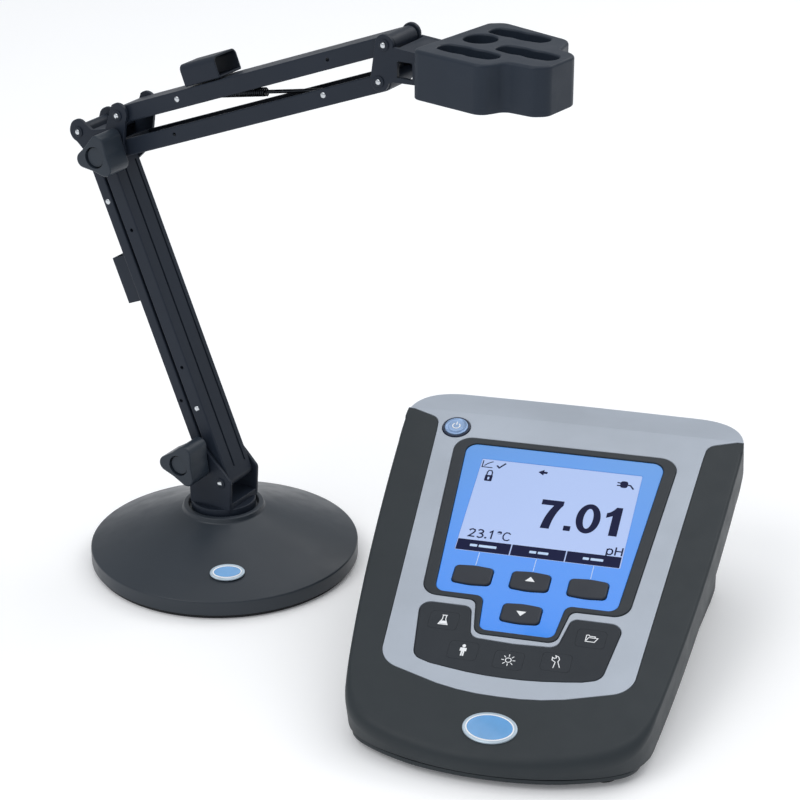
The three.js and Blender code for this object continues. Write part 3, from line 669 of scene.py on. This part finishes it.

# Battery door: a panel with grip ribs, seen from below.
ribs = [slab("t", METER, rectangle(-14, 14, 60 + 2.2 * k, 61 + 2.2 * k, 0.4), 2, 3.5, 0.01, 0.01) for k in range(5)]
dress(carve(slab("battery_cover", METER, rectangle(-33.7, 33.7, 4.3, 73.7, 1.8), 3, 5, 0.2, 0.5), ribs),
      "meter", CHARCOAL, ["battery_door"])
screws = [slab("t", METER, ellipse(x, y, 2.2, 2.2, 28), 2.4, 5.2, 0.1, 0.3) for x, y in CASE_SCREWS]
crosses = [slab("t", METER, rectangle(x - a, x + a, y - b, y + b), 2, 3.2, 0.01, 0.01) for x, y in CASE_SCREWS
           for a, b in ((1.4, 0.3), (0.3, 1.4))]
dress(carve(merge("case_screws", screws), crosses), "meter", STEEL)

# --- meter: rear sockets
PLATE_Y = rear_y - 2
PORT_Y = PLATE_Y + 2.2
REAR = METER @ shift(0, 0, 30) @ turn(90, "X")  # x right, y up, z towards the front of the meter
PORTS = {"probe_socket_1": -44, "probe_socket_2": -20, "usb_a_port": 4, "usb_b_port": 26, "dc_jack": 46}
SHAPES = {"probe_socket_1": (7.6, 5.4, 11), "probe_socket_2": (7.6, 5.4, 11), "dc_jack": (5.2, 3, 10)}
BOXES = {"usb_a_port": (7.2, 3.6, 6.3, 2.5, 12), "usb_b_port": (6.2, 5.8, 4.2, 4, 12)}


def port_outline(name, grow, bore=False):
    x = PORTS[name]
    if name in SHAPES:
        r = SHAPES[name][1 if bore else 0] + grow
        return ellipse(x, 0, r, r, 48)
    w, h = (BOXES[name][2:4] if bore else BOXES[name][:2])
    return rectangle(x - w - grow, x + w + grow, -h - grow, h + grow, 0.8)


dress(slab("rear_plate", REAR, rectangle(-57.7, 57.7, -15.7, 15.7, 1), -PLATE_Y - 0.6, -PLATE_Y + 1.6, 0.2, 0.2,
           holes=[port_outline(name, 0.15) for name in PORTS]), "meter", DARK, ["rear_panel"])
for name in PORTS:
    depth = (SHAPES.get(name) or BOXES[name])[-1]
    outer = port_outline(name, 0)
    body = slab(name + "_shell", REAR, outer, -PORT_Y, -PORT_Y + depth + 3, 0.2, 0.4)
    bore = slab("t", REAR, port_outline(name, 0, True), -PORT_Y - 5, -PORT_Y + depth, 0.01, 0.01)
    dress(carve(body, [bore]), "meter", SOCKET if name != "dc_jack" else DARK, [name], bevel=0.15)
    x = PORTS[name]
    if name in SHAPES:
        contact, set_back, over = ellipse(x, 0, 1.1, 1.1, 24), 3, 0.4
    else:
        contact, set_back, over = rectangle(x - 3.2, x + 3.2, -0.7, 0.7, 0.2), 2, 0.2
    dress(slab(name + "_contact", REAR, contact, -PORT_Y + set_back, -PORT_Y + depth + 0.2, 0.1, over), "meter",
          SOCKET)

# --- meter: display
KEY_HALF = vec(9.5, 6)
FUNCTION_HALF = vec(7, 5.5)
DISPLAY_KEYS = {"key_left": (-28.2, 109.5), "key_right": (28.2, 109.5), "key_up": (0, 109.8), "key_down": (0, 88.6)}
FUNCTION_KEYS = {"key_sample": (-35.4, 78.8), "key_user": (-22.2, 61.8), "key_backlight": (0, 59.4),
                 "key_settings": (22.2, 61.8), "key_data": (35.4, 78.8)}


def bowed(u, v, grow=0.0):
    """A key outline whose long edges bulge a little."""
    x, y, r = KEY_HALF.x + grow, KEY_HALF.y + grow - 0.6, 2.4
    corners = [(u - x, v - y, r), (u, v - y - 0.9, 30), (u + x, v - y, r), (u + x, v + y, r),
               (u, v + y + 0.9, 30), (u - x, v + y, r)]
    return rounded(corners, 6)


SCREEN_EDGE = rectangle(-41, 41, 125.4, 189.8, 0.8)
dress(slab("window_frame", PANEL, WINDOW, -3, 0.35, 0.55, 0.2, holes=[inset(LENS_EDGE, -0.12)], bore=0.5),
      "meter", FRAME_DARK, ["window_bezel"])
dress(slab("blue_lens", PANEL, LENS_EDGE, -2.4, -0.25, 0.35, 0.2,
           holes=[SCREEN_EDGE] + [bowed(*q, 0.35) for q in DISPLAY_KEYS.values()], bore=0.1),
      "meter", LENS, ["display_lens"])
dress(slab("screen_plate", PANEL, rectangle(-43, 43, 122, 190, 1), -8.8, -3.1, 0.1, 0.1),
      "meter", SCREEN, ["lcd_module"])
dress(slab("screen_face", PANEL, inset(SCREEN_EDGE, 0.06), -2.4, -0.42, 0.05, 0.05),
      "meter", SCREEN)
INK = -0.41


def stroke(path, width, closed=False):
    """An outline around a line: a list whose later entries are holes."""
    path = dots(*path)
    sides = []
    for sign in (1, -1):
        edge = []
        for i, here in enumerate(path):
            before = path[i - 1] if closed or i else here
            after = path[(i + 1) % len(path)] if closed or i < len(path) - 1 else here
            one = (here - before).normalized() if here != before else (after - here).normalized()
            two = (after - here).normalized() if here != after else one
            side = (one + two).normalized()
            reach = width / 2 / max(0.4, one.dot(side))
            edge.append(vec(here.x - side.y * reach * sign, here.y + side.x * reach * sign))
        sides.append(edge)
    if not closed:
        return [sides[0] + sides[1][::-1]]
    outer, inner = sorted(sides, key=lambda e: -abs(sum(a.x * b.y - b.x * a.y for a, b in zip(e, e[1:] + e[:1]))))
    return [outer, inner]


def mark(name, shapes, lift, body, material, thick=0.09):
    """Flat printed marks: each shape is an outline followed by its holes."""
    parts = [slab("t", PANEL, s[0], lift - 0.05, lift + thick, 0.02, 0.02, holes=s[1:], steps=1) for s in shapes]
    return dress(merge(name, parts), body, material, angle=60)


def shifted(shapes, u, v, wide=1.0, high=1.0):
    """Outlines scaled and moved to (u, v)."""
    return [[[vec(u + q.x * wide, v + q.y * high) for q in loop] for loop in shape] for shape in shapes]


SEVEN = [[dots((0, 21.5), (11.4, 21.5), (11.4, 18.4)) + curve(((11.4, 18.4), (7.4, 11), (7.0, 0)), 10)
          + [vec(2.4, 0)] + curve(((2.4, 0), (3.0, 10.5), (6.7, 17.7)), 10) + [vec(0, 17.7)]]]
POINT = [[rectangle(0, 3.6, 0, 3.6, 0.2)]]
ZERO = [[ellipse(6.2, 10.75, 6.2, 11.1, 40), ellipse(6.2, 10.75, 2.5, 7.6, 32)]]
ONE = [[dots((7.6, 0), (7.6, 21.5), (4.5, 21.5), (3.2, 19.2), (1.8, 17.6), (0, 16.5), (0, 13), (3.2, 14.8),
             (3.2, 0))]]
WIDE, HIGH = 0.962, 0.912
reading = []
for figure, u in ((SEVEN, 0), (POINT, 14.2), (ZERO, 19.4), (ONE, 34.4)):
    reading += shifted(figure, u * WIDE - 5, 146.4, WIDE, HIGH)
mark("screen_reading", reading, INK, "meter", NAVY)


def pen(paths, u, v, width=0.75):
    """Line-drawn figures, on a cap height of 5.4."""
    return [stroke([(u + x, v + y) for x, y in path], width) for path in paths]


TWO = [[(0.1, 4.2), (0.5, 5.0), (1.5, 5.4), (2.6, 5.0), (2.9, 4.0), (2.3, 2.8), (0.3, 0.4), (3.2, 0.4)]]
THREE = [[(0.2, 4.8), (1.0, 5.4), (2.1, 5.3), (2.8, 4.6), (2.6, 3.5), (1.4, 3.0), (2.7, 2.4), (3.1, 1.5), (2.6, 0.5),
          (1.4, 0.1), (0.2, 0.6)]]
SMALL_ONE = [[(0.2, 4.2), (1.5, 5.3), (1.5, 0)]]
DEGREE_C = [[(1.2, 5.6), (0.4, 5.2), (0.3, 4.4), (0.9, 3.9), (1.7, 4.1), (1.9, 4.9), (1.3, 5.6)],
            [(6.6, 4.4), (5.7, 5.3), (4.4, 5.3), (3.5, 4.3), (3.2, 2.7), (3.5, 1.1), (4.4, 0.2), (5.7, 0.1),
             (6.7, 1.0)]]
LETTER_P = [[(0, 3.9), (0, -1.5)], [(0, 3.1), (0.8, 3.9), (2.0, 3.8), (2.7, 2.9), (2.7, 1.2), (2.0, 0.3), (0.8, 0.2),
                                    (0, 1.0)]]
LETTER_H = [[(0, 0), (0, 5.4)], [(3.2, 0), (3.2, 5.4)], [(0, 2.8), (3.2, 2.8)]]
units = pen(TWO, -36.4, 135) + pen(THREE, -32.2, 135) + [[rectangle(-28.2, -27.2, 134.9, 135.9, 0.1)]]
units += pen(SMALL_ONE, -26.4, 135) + pen(DEGREE_C, -22.4, 135, 0.65)
units += pen(LETTER_P, 32.6, 133.8) + pen(LETTER_H, 36.8, 133.8)
mark("screen_units", units, INK, "meter", NAVY)
bars = [[rectangle(u, u + 26.6, 125.8, 133, 0.2)] for u in (-40.6, -13.4, 13.8)]
mark("screen_bar", bars, INK, "meter", NAVY)
dashes = ((-34, -30.4), (-29.6, -20.8), (-4.4, -1), (-0.2, 5), (22, 25), (25.8, 32))
mark("screen_labels", [[rectangle(a, b, 128.6, 130.2, 0.3)] for a, b in dashes], INK + 0.08, "meter",
     PALE_INK)
lock = [[rectangle(-37, -33.2, 174.4, 178.6, 0.4), rectangle(-35.6, -34.6, 175.4, 177.4, 0.2)],
        stroke([(-36.4, 178.4), (-36.4, 180.6), (-35.8, 181.9), (-34.4, 181.9), (-33.8, 180.6), (-33.8, 178.4)], 0.6)]
chart = [stroke([(-40, 188.6), (-40, 184), (-34.6, 184)], 0.5),
         stroke([(-39, 184.9), (-37.4, 186.8), (-35, 188.4)], 0.5)]
tick = [stroke([(-32.6, 186), (-31.2, 184.4), (-28.4, 188)], 0.8)]
arrow = [[dots((-11, 184.6), (-8.2, 182.6), (-8.2, 186.6))], [rectangle(-8.4, -6.4, 183.9, 185.3, 0.1)]]
plug = [[rectangle(31, 34.8, 180.2, 184.8, 1.4)], stroke([(34.4, 182.4), (36.2, 182.2), (38, 179.8)], 0.8),
        stroke([(29.4, 183.5), (31.4, 183.3)], 0.7), stroke([(29.4, 181.5), (31.4, 181.5)], 0.7)]
mark("screen_symbols", lock + chart + tick + arrow + plug, INK, "meter", NAVY)
mark("lens_lines", [[rectangle(u - 0.18, u + 0.18, v, 125)] for u, v in ((-28.2, 116.4), (0, 116.8), (28.2, 116.4))],
     -0.26, "meter", PALE_INK, thick=0.05)

# --- meter: keys
TRIANGLES = {"key_up": [(-2.4, 109.2), (2.4, 109.2), (0, 112.2)], "key_down": [(-2.4, 89.6), (0, 86.6), (2.4, 89.6)]}
for name, (u, v) in DISPLAY_KEYS.items():
    cap_piece = slab(name + "_cap", PANEL, bowed(u, v), -3.8, 0.75, 0.9, 0.2, steps=5)
    dress(cap_piece, name + "_body", KEY_RUBBER, [name])
    if name in TRIANGLES:
        mark(name + "_mark", [[dots(*TRIANGLES[name])]], 0.76, name + "_body", WHITE_INK)


def key_outline(u, v, grow=0.0):
    x, y = FUNCTION_HALF.x + grow, FUNCTION_HALF.y + grow
    return rectangle(u - x, u + x, v - y, v + y, 2.2)


dress(slab("keypad_face", PANEL, PAD, -4.6, -0.15, 0.7, 0.2,
           holes=[key_outline(*q, 0.06) for q in FUNCTION_KEYS.values()], bore=0.05),
      "meter", PAD_RUBBER, ["keypad_mat"])


def circle_points(cx, cy, r, start, end, steps):
    turns = [math.radians(start + (end - start) * k / steps) for k in range(steps + 1)]
    return [(cx + r * math.cos(a), cy + r * math.sin(a)) for a in turns]


RAYS = [(math.cos(math.pi * k / 4), math.sin(math.pi * k / 4)) for k in range(8)]
THIN = 0.42
ICONS = {
    "key_sample": [stroke([(-0.8, 3), (-0.8, 0.6), (-2.2, -2.6), (2.2, -2.6), (0.8, 0.6), (0.8, 3)], THIN, True),
                   [dots((-1.7, -2.2), (1.7, -2.2), (1.0, -0.4), (-1.0, -0.4))],
                   stroke([(-1.3, 3.2), (1.3, 3.2)], THIN)],
    "key_user": [[ellipse(0, 2.8, 0.85, 0.95, 20)],
                 [dots((-1.5, 1.6), (-1.6, -0.4), (-0.8, -0.4), (-0.8, -3.4), (-0.1, -3.4), (-0.1, -0.8),
                        (0.1, -0.8), (0.1, -3.4), (0.8, -3.4), (0.8, -0.4), (1.6, -0.4), (1.5, 1.6))]],
    "key_backlight": [stroke(circle_points(0, 0, 1.35, 0, 345, 23), THIN, True)]
    + [stroke([(2.0 * c, 2.1 * s), (3.3 * c, 3.5 * s)], THIN) for c, s in RAYS],
    "key_settings": [stroke([(-0.9, -3.6), (-0.5, 0), (-2.2, 1.2), (-2.3, 2.8), (-1.3, 2.2), (-0.4, 2.8), (-0.9, 4),
                             (0.6, 3.4), (1.2, 1.9), (0.7, 0.5), (2.1, -3.0)], THIN)],
    "key_data": [stroke([(-2.4, -1.9), (-2.4, 1.9), (-1.4, 2.2), (-0.8, 1.5), (1.8, 1.5), (1.8, 0.6)], THIN),
                 stroke([(-2.4, -1.9), (-1.2, 0.6), (3.2, 0.6), (1.9, -1.9)], THIN, True)]}
for name, (u, v) in FUNCTION_KEYS.items():
    dress(slab(name + "_cap", PANEL, key_outline(u, v), -3.4, -0.15, 0.06, 0.2), name + "_body", PAD_RUBBER,
          [name])
    mark(name + "_mark", shifted(ICONS[name], u, v), -0.14, name + "_body", WHITE_INK)

BUTTON_AT = PANEL @ shift(POWER.x, POWER.y, 0)
dress(lathe("power_collar", BUTTON_AT, fillets([(6.3, -3, 0.1), (7.2, -3, 0.1), (7.2, 0.7, 0.5), (6.3, 0.6, 0.3)])),
      "meter", RING, ["power_ring"])
dome = [(0, -2), (5.3, -2), (6.0, -0.6), (6.15, 0.5), (5.9, 0.9), (5.3, 1.0), (5.0, 0.72), (4.3, 0.72), (4.1, 1.02),
        (0, 1.1)]
dress(lathe("power_cap", BUTTON_AT, dome), "power_button_body", BUTTON, ["power_button"], angle=45)
mark("power_mark", [stroke(circle_points(*POWER, 1.9, 125, 415, 22), 0.55),
                    stroke([(POWER.x, POWER.y + 0.6), (POWER.x, POWER.y + 2.9)], 0.55)], 1.1, "power_button_body",
     WHITE_INK)

# --- meter: badge and insides
def badge(prefix, where, rx, ry, body, nodes):
    rim = slab(prefix + "_rim", where, ellipse(0, 0, rx, ry), 0.2, 1.0, 0.5, 0.1, steps=5)
    dress(rim, body, BADGE_RIM, nodes)
    dress(slab(prefix + "_ring", where, ellipse(0, 0, rx - 1.5, ry - 1.4), 0.8, 1.12, 0.1, 0.05), body,
          WHITE_INK)
    dress(slab(prefix + "_face", where, ellipse(0, 0, rx - 2.1, ry - 2.0), 0.9, 1.28, 0.3, 0.05), body,
          BADGE_BLUE)


badge("meter_badge", PANEL @ shift(0.3, 17.7, -0.15), 12.8, 9.1, "meter", ["meter_badge"])
finish(frame["nodes"]["main_board"], BOARD)
for i in range(4):
    finish(frame["nodes"][f"battery_{i + 1}"], CELL)

# --- stand: base
cover = [(6.5, 14, 0), (14, 14, 0), (14, 27, 0), (64, 9.6, 0), (67.5, 8, 0), (67.5, 2.4, 0), (71, 2.4, 0.3),
         (71, 10, 1.1), (60, 14.6, 40), (44, 20.9, 60), (30, 26.2, 30), (21.7, 29.6, 1.5), (21.2, 32.2, 0.9),
         (18.6, 32.5, 0.8), (18.0, 30, 0), (6.5, 30, 0)]
dress(lathe("base_cone", STAND, fillets(cover, 7), 144), "stand_base", BASE, ["stand_base_cover"])
dress(lathe("base_pad", STAND, fillets([(0, 0, 0), (69.2, 0, 0.4), (70, 2.1, 0.3), (0, 2.1, 0)]), 120), "stand_base",
      FOOT_RUBBER, ["stand_base_pad"])
finish(frame["nodes"]["stand_base_weight"], CAST)
at = middle("stand_badge")
slope = math.degrees(math.atan2(19.6 - 11.4, 69.6 - 48))
badge("base_badge", shift(*at) @ MM @ turn(20, "Z") @ turn(slope, "X")
      @ shift(0, 0, -0.75), 9, 5.6, "stand_base", ["stand_badge"])

# --- stand: arm
LINK_HALF, CHEEK_IN, CHEEK_OUT, HOLE_R = 10.5, 11.2, 13.2, 2.3


def plate(name, outline, near, far, edge=0.35, holes=(), where=ACROSS):
    return slab(name, where, outline, -far, -near, edge, edge, holes=holes)


def cheeks(outline, edge=0.35):
    return [plate("t", outline, -CHEEK_OUT, -CHEEK_IN, edge), plate("t", outline, CHEEK_IN, CHEEK_OUT, edge)]


def bar(pin, r, near, far, sides=40, where=ACROSS):
    return plate("t", ellipse(pin.x, pin.y, r, r, sides), near, far, 0.01, (), where)


def pin_bores(*pins):
    return [bar(pin, HOLE_R, -20, 20) for pin in pins]


floor_z = 35.2
bracket = rounded([(-12, floor_z, 0.6), (13, floor_z, 0.6), (14, 51.5, 3), (9, 56.8, 3), (-1.8, 68, 3.5),
                   (-11, 68, 3.5), (-12.4, 60, 2)], 8)
swivel = weld(slab("swivel_bracket", STAND, ellipse(0, 0, 17, 17, 80), 30.7, floor_z, 0.6, 0.2), *cheeks(bracket),
              slab("t", STAND, rectangle(-12, 13, -CHEEK_OUT, CHEEK_OUT, 0.6), floor_z - 0.3, floor_z + 3, 0.3, 0.1),
              lathe("t", STAND, [(0, 14), (6, 14), (6, 31), (0, 31)], 48))
dress(carve(swivel, pin_bores(A, B)), "swivel", ARM, ["stand_swivel"], bevel=0.2)


def channel(name, start, end, half, web_up, grooves, marks, drop):
    """A link: a channel with rounded solid ends, its web up or down, and small holes through the near wall.

    Its outline lies drop below the line through its pins."""
    where = link_frame(start, end)
    across = where @ turn(90, "X")
    length = (end - start).length
    body = plate(name, stadium(vec(0, -drop), vec(length, -drop), half, 16), -LINK_HALF, LINK_HALF, 0.7, (), across)
    low, high = (-half - 3, half - 1.6 - drop) if web_up else (-half + 1.6 - drop, half + 3)
    tools = [plate("t", rectangle(half + 3, length - half - 3, low, high), -LINK_HALF + 1.8, LINK_HALF - 1.8, 0.01,
                   (), across)]
    tools += [bar(vec(0, 0), HOLE_R, -20, 20, 40, across), bar(vec(length, 0), HOLE_R, -20, 20, 40, across)]
    face = half if web_up else -half
    for k, w in grooves:
        tools.append(plate("t", rectangle(5, length - 5, face - 0.7, face + 0.7), k, k + w, 0.01, (), across))
    for t, h in marks:
        tools.append(bar(vec(t, h), 1.0, -LINK_HALF - 1, -LINK_HALF + 3, 24, across))
    return carve(body, tools)


def headed(name, where, r, out, depth, steps=6):
    """A domed head that stands out along z."""
    turns = [math.pi / 2 * k / steps for k in range(steps + 1)]
    curve_points = [(r * math.cos(a), depth * math.sin(a)) for a in turns]
    return lathe(name, where @ shift(0, 0, out), [(0, -0.6), (r, -0.6)] + curve_points, 32)


def rivet(name, start, end, t, body):
    across = link_frame(start, end) @ turn(90, "X") @ shift(t, 0, 0)
    near = headed("t", across, 1.5, LINK_HALF, 0.55)
    far = headed("t", across @ turn(180, "X"), 1.5, LINK_HALF, 0.55)
    dress(merge(name, [near, far]), body, STEEL)


PIN_R = 2
LINKS = {"rear_link": (A, P1, 3, True, [(-4, 1.0)], [(29, 0)], 0, 139),
         "front_link": (B, P3, 3.9, False, [(-3.4, 1.2), (6.2, 1.2)], [(64, 0), (139.5, 0)], 0, 41),
         "upper_top": (P2, H1, 4.3, True, [], [(131.6, -0.1)], 0.5, 37.6),
         "upper_bottom": (P4, H2, 4.3, False, [], [(37.6, -0.6)], 1.2, 131.6)}
NODES = {"upper_top": "upper_link_top", "upper_bottom": "upper_link_bottom"}
for name, (start, end, half, web_up, grooves, marks, drop, anchor) in LINKS.items():
    dress(channel(name + "_bar", start, end, half, web_up, grooves, marks, drop), name + "_body", ARM,
          [NODES.get(name, name)], bevel=0.12)
for name, (start, end, *_, anchor) in LINKS.items():
    rivet(name + "_rivet", start, end, anchor, name + "_body")


def around(centre, capsules, count=150):
    """The outline of a group of round-ended bars, as seen from a point inside it."""
    outline = []
    for k in range(count):
        ray = vec(math.cos(2 * math.pi * k / count), math.sin(2 * math.pi * k / count))
        far = 1.0
        for start, end, reach in capsules:
            for i in range(41):
                m = start.lerp(end, i / 40) - centre
                t = m.dot(ray)
                off = m.length_squared - t * t
                if off < reach * reach:
                    far = max(far, t + math.sqrt(reach * reach - off))
        outline.append(centre + ray * far)
    return outline


lobes = [(P1, P3, 5), (P3, P4, 6), (P4, P2, 5), (P1, P1 + vec(0.3, 0.9), 5.6), (P2, P2 + vec(0.3, 1), 5.4),
         (vec(-66, 227), vec(-53, 230), 3)]
yoke_parts = cheeks(around(vec(-58, 225), lobes), 0.3)
yoke_parts.append(plate("t", stadium(vec(-66, 228), vec(-57, 229.7), 1.6, 6), -CHEEK_OUT + 0.5, CHEEK_OUT - 0.5, 0.2))
yoke = weld(*yoke_parts)
yoke.name = "elbow_cheeks"
dress(carve(yoke, pin_bores(P1, P2, P3, P4)), "elbow", ARM, ["elbow_yoke"], bevel=0.2)

HEAD_END = 131
window_hole = plate("t", rectangle(115, 123.2, 284.5, 292.5, 0.4), -20, 0, 0.01)
arm_outline = dots((109, 280.5), (113, 282), (HEAD_END, 282.5), (HEAD_END, 297), (113, 298.6), (109, 295))
head_parts = cheeks(stadium(H1, H2, 4.9), 0.4) + cheeks(arm_outline, 0.2)
for outline in ([(123.5, 282.5, 0.2), (HEAD_END, 282.5, 0.2), (HEAD_END, 296.9, 0.2), (123.5, 297.5, 0.2)],
                [(115, 296.4, 0.1), (124, 296, 0.1), (124, 297.4, 0.1), (115, 298.4, 0.1)]):
    head_parts.append(plate("t", rounded(outline, 3), -CHEEK_OUT, CHEEK_OUT, 0.1))
head = weld(*head_parts)
head.name = "head_fork"
dress(carve(head, [window_hole] + pin_bores(H1, H2)), "head", ARM, ["head_bracket"], bevel=0.2)

PINS = {"base_pin": (B, "swivel"), "elbow_pin_rear": (P1, "elbow"), "elbow_pin_front": (P3, "elbow"),
        "elbow_pin_top": (P2, "elbow"), "head_pin_top": (H1, "head"), "head_pin_bottom": (H2, "head")}
for name, (place, body) in PINS.items():
    across = ACROSS @ shift(place.x, place.y, 0)
    sides = [across @ turn(180, "X")] + ([across] if name != "elbow_pin_front" else [])
    parts = [bar(place, PIN_R, -CHEEK_OUT - 0.2, CHEEK_OUT + 0.2)]
    parts += [headed("t", side, 1.35, CHEEK_OUT + 0.95, 0.45) for side in sides]
    dress(merge(name + "_steel", parts), body, STEEL, [name])
    washer = fillets([(1.45, 0, 0), (2.7, 0, 0), (2.7, 0.6, 0.3), (1.45, 0.75, 0.2)], 4)
    washers = [lathe("t", side @ shift(0, 0, CHEEK_OUT + 0.02), washer, 40) for side in sides]
    dress(merge(name + "_washers", washers), body, ARM)

KNOB_FAR = -CHEEK_OUT - 1.4
KNOB_NEAR = KNOB_FAR - 15.5


def knob(name, place, angle, reach, body, node):
    corners = []
    for k in range(3):
        a, b = (math.radians(angle + 120 * k + more) for more in (0, 60))
        corners.append((place.x + reach * math.cos(a), place.y + reach * math.sin(a), 4.2))
        corners.append((place.x + reach * 0.44 * math.cos(b), place.y + reach * 0.44 * math.sin(b), 14))
    grip = plate(name, rounded(corners, 10), KNOB_NEAR, KNOB_FAR, 0.8)
    grip = carve(grip, [bar(place, 5.6, KNOB_NEAR - 5, KNOB_NEAR + 2.6, 56)])
    grip = weld(grip, bar(place, 4.4, -CHEEK_OUT - 2, -CHEEK_OUT - 0.3),
                bar(place, 4.9, KNOB_NEAR + 1.2, KNOB_NEAR + 3, 56))
    dress(grip, body, KNOB, [node], angle=35, bevel=0.25)
    bolt = [bar(place, PIN_R, -CHEEK_OUT - 0.4, CHEEK_OUT + 1.3),
            bar(place, 3.4, CHEEK_OUT + 0.3, CHEEK_OUT + 2.7, 6)]
    dress(merge(name + "_bolt", bolt), body, STEEL, bevel=0.2)


knob("base_knob_grip", A, 65, 17.5, "base_knob_body", "base_knob")
knob("elbow_knob_grip", P4, 78, 17, "elbow_knob_body", "elbow_knob")

# --- stand: electrode block
block_outline = rounded([(0, -28, 5), (41, -30, 7), (46, -18, 5), (60, -17, 6), (65.3, -12, 6), (64.3, 13, 8),
                         (53, 14, 3), (47.5, 29.5, 7), (6, 36, 7), (0, 30, 4)], 10)


def peanut(x, y):
    """A long slot with round ends and a slight waist."""
    half, r = 16.2, 6.1
    outline = []
    for k in range(72):
        a = 2 * math.pi * k / 72
        px = max(-1, min(1, 1.5 * math.cos(a))) * (half - r) + r * math.cos(a)
        waist = 1 - 0.16 * math.exp(-(px / 3.2) ** 2)
        outline.append(vec(x + px, y + r * waist * math.sin(a)))
    return outline


slots = [peanut(22.8, -14.8), peanut(44.5, 0.2), peanut(24.5, 21.8), ellipse(14, 5.8, 8, 8, 56)]
dress(slab("block_body", BLOCK, block_outline, 280.8, 304, 1.6, 0.8, holes=slots, bore=1.0, steps=5), "head",
      BLOCK_PLASTIC, ["electrode_block"])


# --- stand: springs and clips
def in_stand(start, end, t):
    return start + (end - start).normalized() * t


def coil(name, start, end, first, last, r, turns, body, node):
    """A wound spring between two points, with a straight wire at each end."""
    length = (end - start).length
    direction = (end - start) / length
    side = vec(-direction.y, direction.x)

    def at(t, x, k):
        q = start + direction * t + side * x
        return (q.x, k, q.y)
    path = [at(3 + (first - 3) * k / 4, 0, 0) for k in range(5)] if first > 3 else []
    steps = turns * 12
    for k in range(steps + 1):
        a = 2 * math.pi * k / 12
        grow = min(1, k / 6, (steps - k) / 6)
        path.append(at(first + (last - first) * k / steps, grow * r * math.cos(a), grow * r * math.sin(a)))
    if last < length - 4:
        path += [at(last + (length - 3 - last) * k / 4, 0, 0) for k in range(1, 5)]
    dress(tube(name, STAND, path, 0.45, 8), body, WIRE, [node], angle=60)


low_top, low_bottom = in_stand(A, P1, 139), in_stand(B, P3, 41)
span = (low_top - low_bottom).length
coil("lower_spring_coil", low_top, low_bottom, span * 0.36, span * 0.84, 1.7, 34, "rear_link_body", "spring_lower")
high_top, high_bottom = in_stand(P2, H1, 37.6), in_stand(P4, H2, 131.6)
span = (high_top - high_bottom).length
coil("upper_spring_coil", high_top, high_bottom, span * 0.18, span * 0.6 - 4.5, 1.9, 26, "upper_top_body",
     "spring_upper")
rod_path = [high_top.lerp(high_bottom, 0.4 + (0.6 - 3 / span) * k / 8) for k in range(9)]
dress(tube("upper_spring_rod", STAND, [(q.x, 0, q.y) for q in rod_path], 0.95, 14), "upper_bottom_body",
      WIRE, ["spring_rod"], angle=60)
ALONG = Matrix(((0, 0, 1, 0), (1, 0, 0, 0), (0, 1, 0, 0), (0, 0, 0, 1)))


def clip(name, start, end, t0, t1, h0, h1, half, r, body, node):
    where = link_frame(start, end) @ ALONG
    outer = rounded([(-half, h0, 0.8), (half, h0, 0.8), (half, h1, r), (-half, h1, r)])
    inner = rounded([(-half + 1, h0 + 1, 0.5), (half - 1, h0 + 1, 0.5), (half - 1, h1 - 1, r - 1),
                     (-half + 1, h1 - 1, r - 1)])
    dress(slab(name, where, outer, t0, t1, 0.3, 0.3, holes=[inner]), body, ARM, [node])


clip("lower_cable_loop", A, P1, 84.6, 109.6, 3.2, 14.6, 7, 1.6, "rear_link_body", "cable_clip_lower")
clip("upper_cable_loop", P2, H1, 44.4, 66.4, 4.5, 15.5, 9.6, 3, "upper_top_body", "cable_clip_upper")

# --- floor and light
floor_mesh = bpy.data.meshes.new("floor")
FLOOR_REACH = 30
floor_mesh.from_pydata([(x * FLOOR_REACH, y * FLOOR_REACH, 0) for x, y in ((-1, -1), (1, -1), (1, 1), (-1, 1))], [],
                       [(0, 1, 2, 3)])
floor = linked("floor", floor_mesh)
floor_finish = Finish("floor", (252, 252, 252), 0.9, specular=0.1).mottle(3, 0.004).glow((250, 251, 255), 0.1)
finish(floor, floor_finish)
floor.location.z = -0.0002

world = bpy.data.worlds.new("studio")
scene.world = world
world.use_nodes = True
sky = world.node_tree.nodes["Background"].inputs
sky["Color"].default_value = (0.93, 0.96, 1.0, 1)
sky["Strength"].default_value = 0.55


LIT_POINT = Vector((0, 0, 0.08))


def softbox(name, place, size, power):
    data = bpy.data.lights.new(name, "AREA")
    data.shape = "RECTANGLE"
    data.size, data.size_y = size
    data.energy = power
    lamp = linked(name, data)
    lamp.location = place
    lamp.rotation_mode = "QUATERNION"
    lamp.rotation_quaternion = (LIT_POINT - Vector(place)).to_track_quat("-Z", "Y")


softbox("key_light", (-0.9, -1.3, 1.9), (1.4, 1.4), 15)
softbox("rim_light", (1.0, 1.4, 1.6), (1.6, 0.8), 9)
softbox("top_light", (0.2, 0.3, 2.2), (2.0, 2.0), 14)
scene.view_settings.view_transform = "Standard"
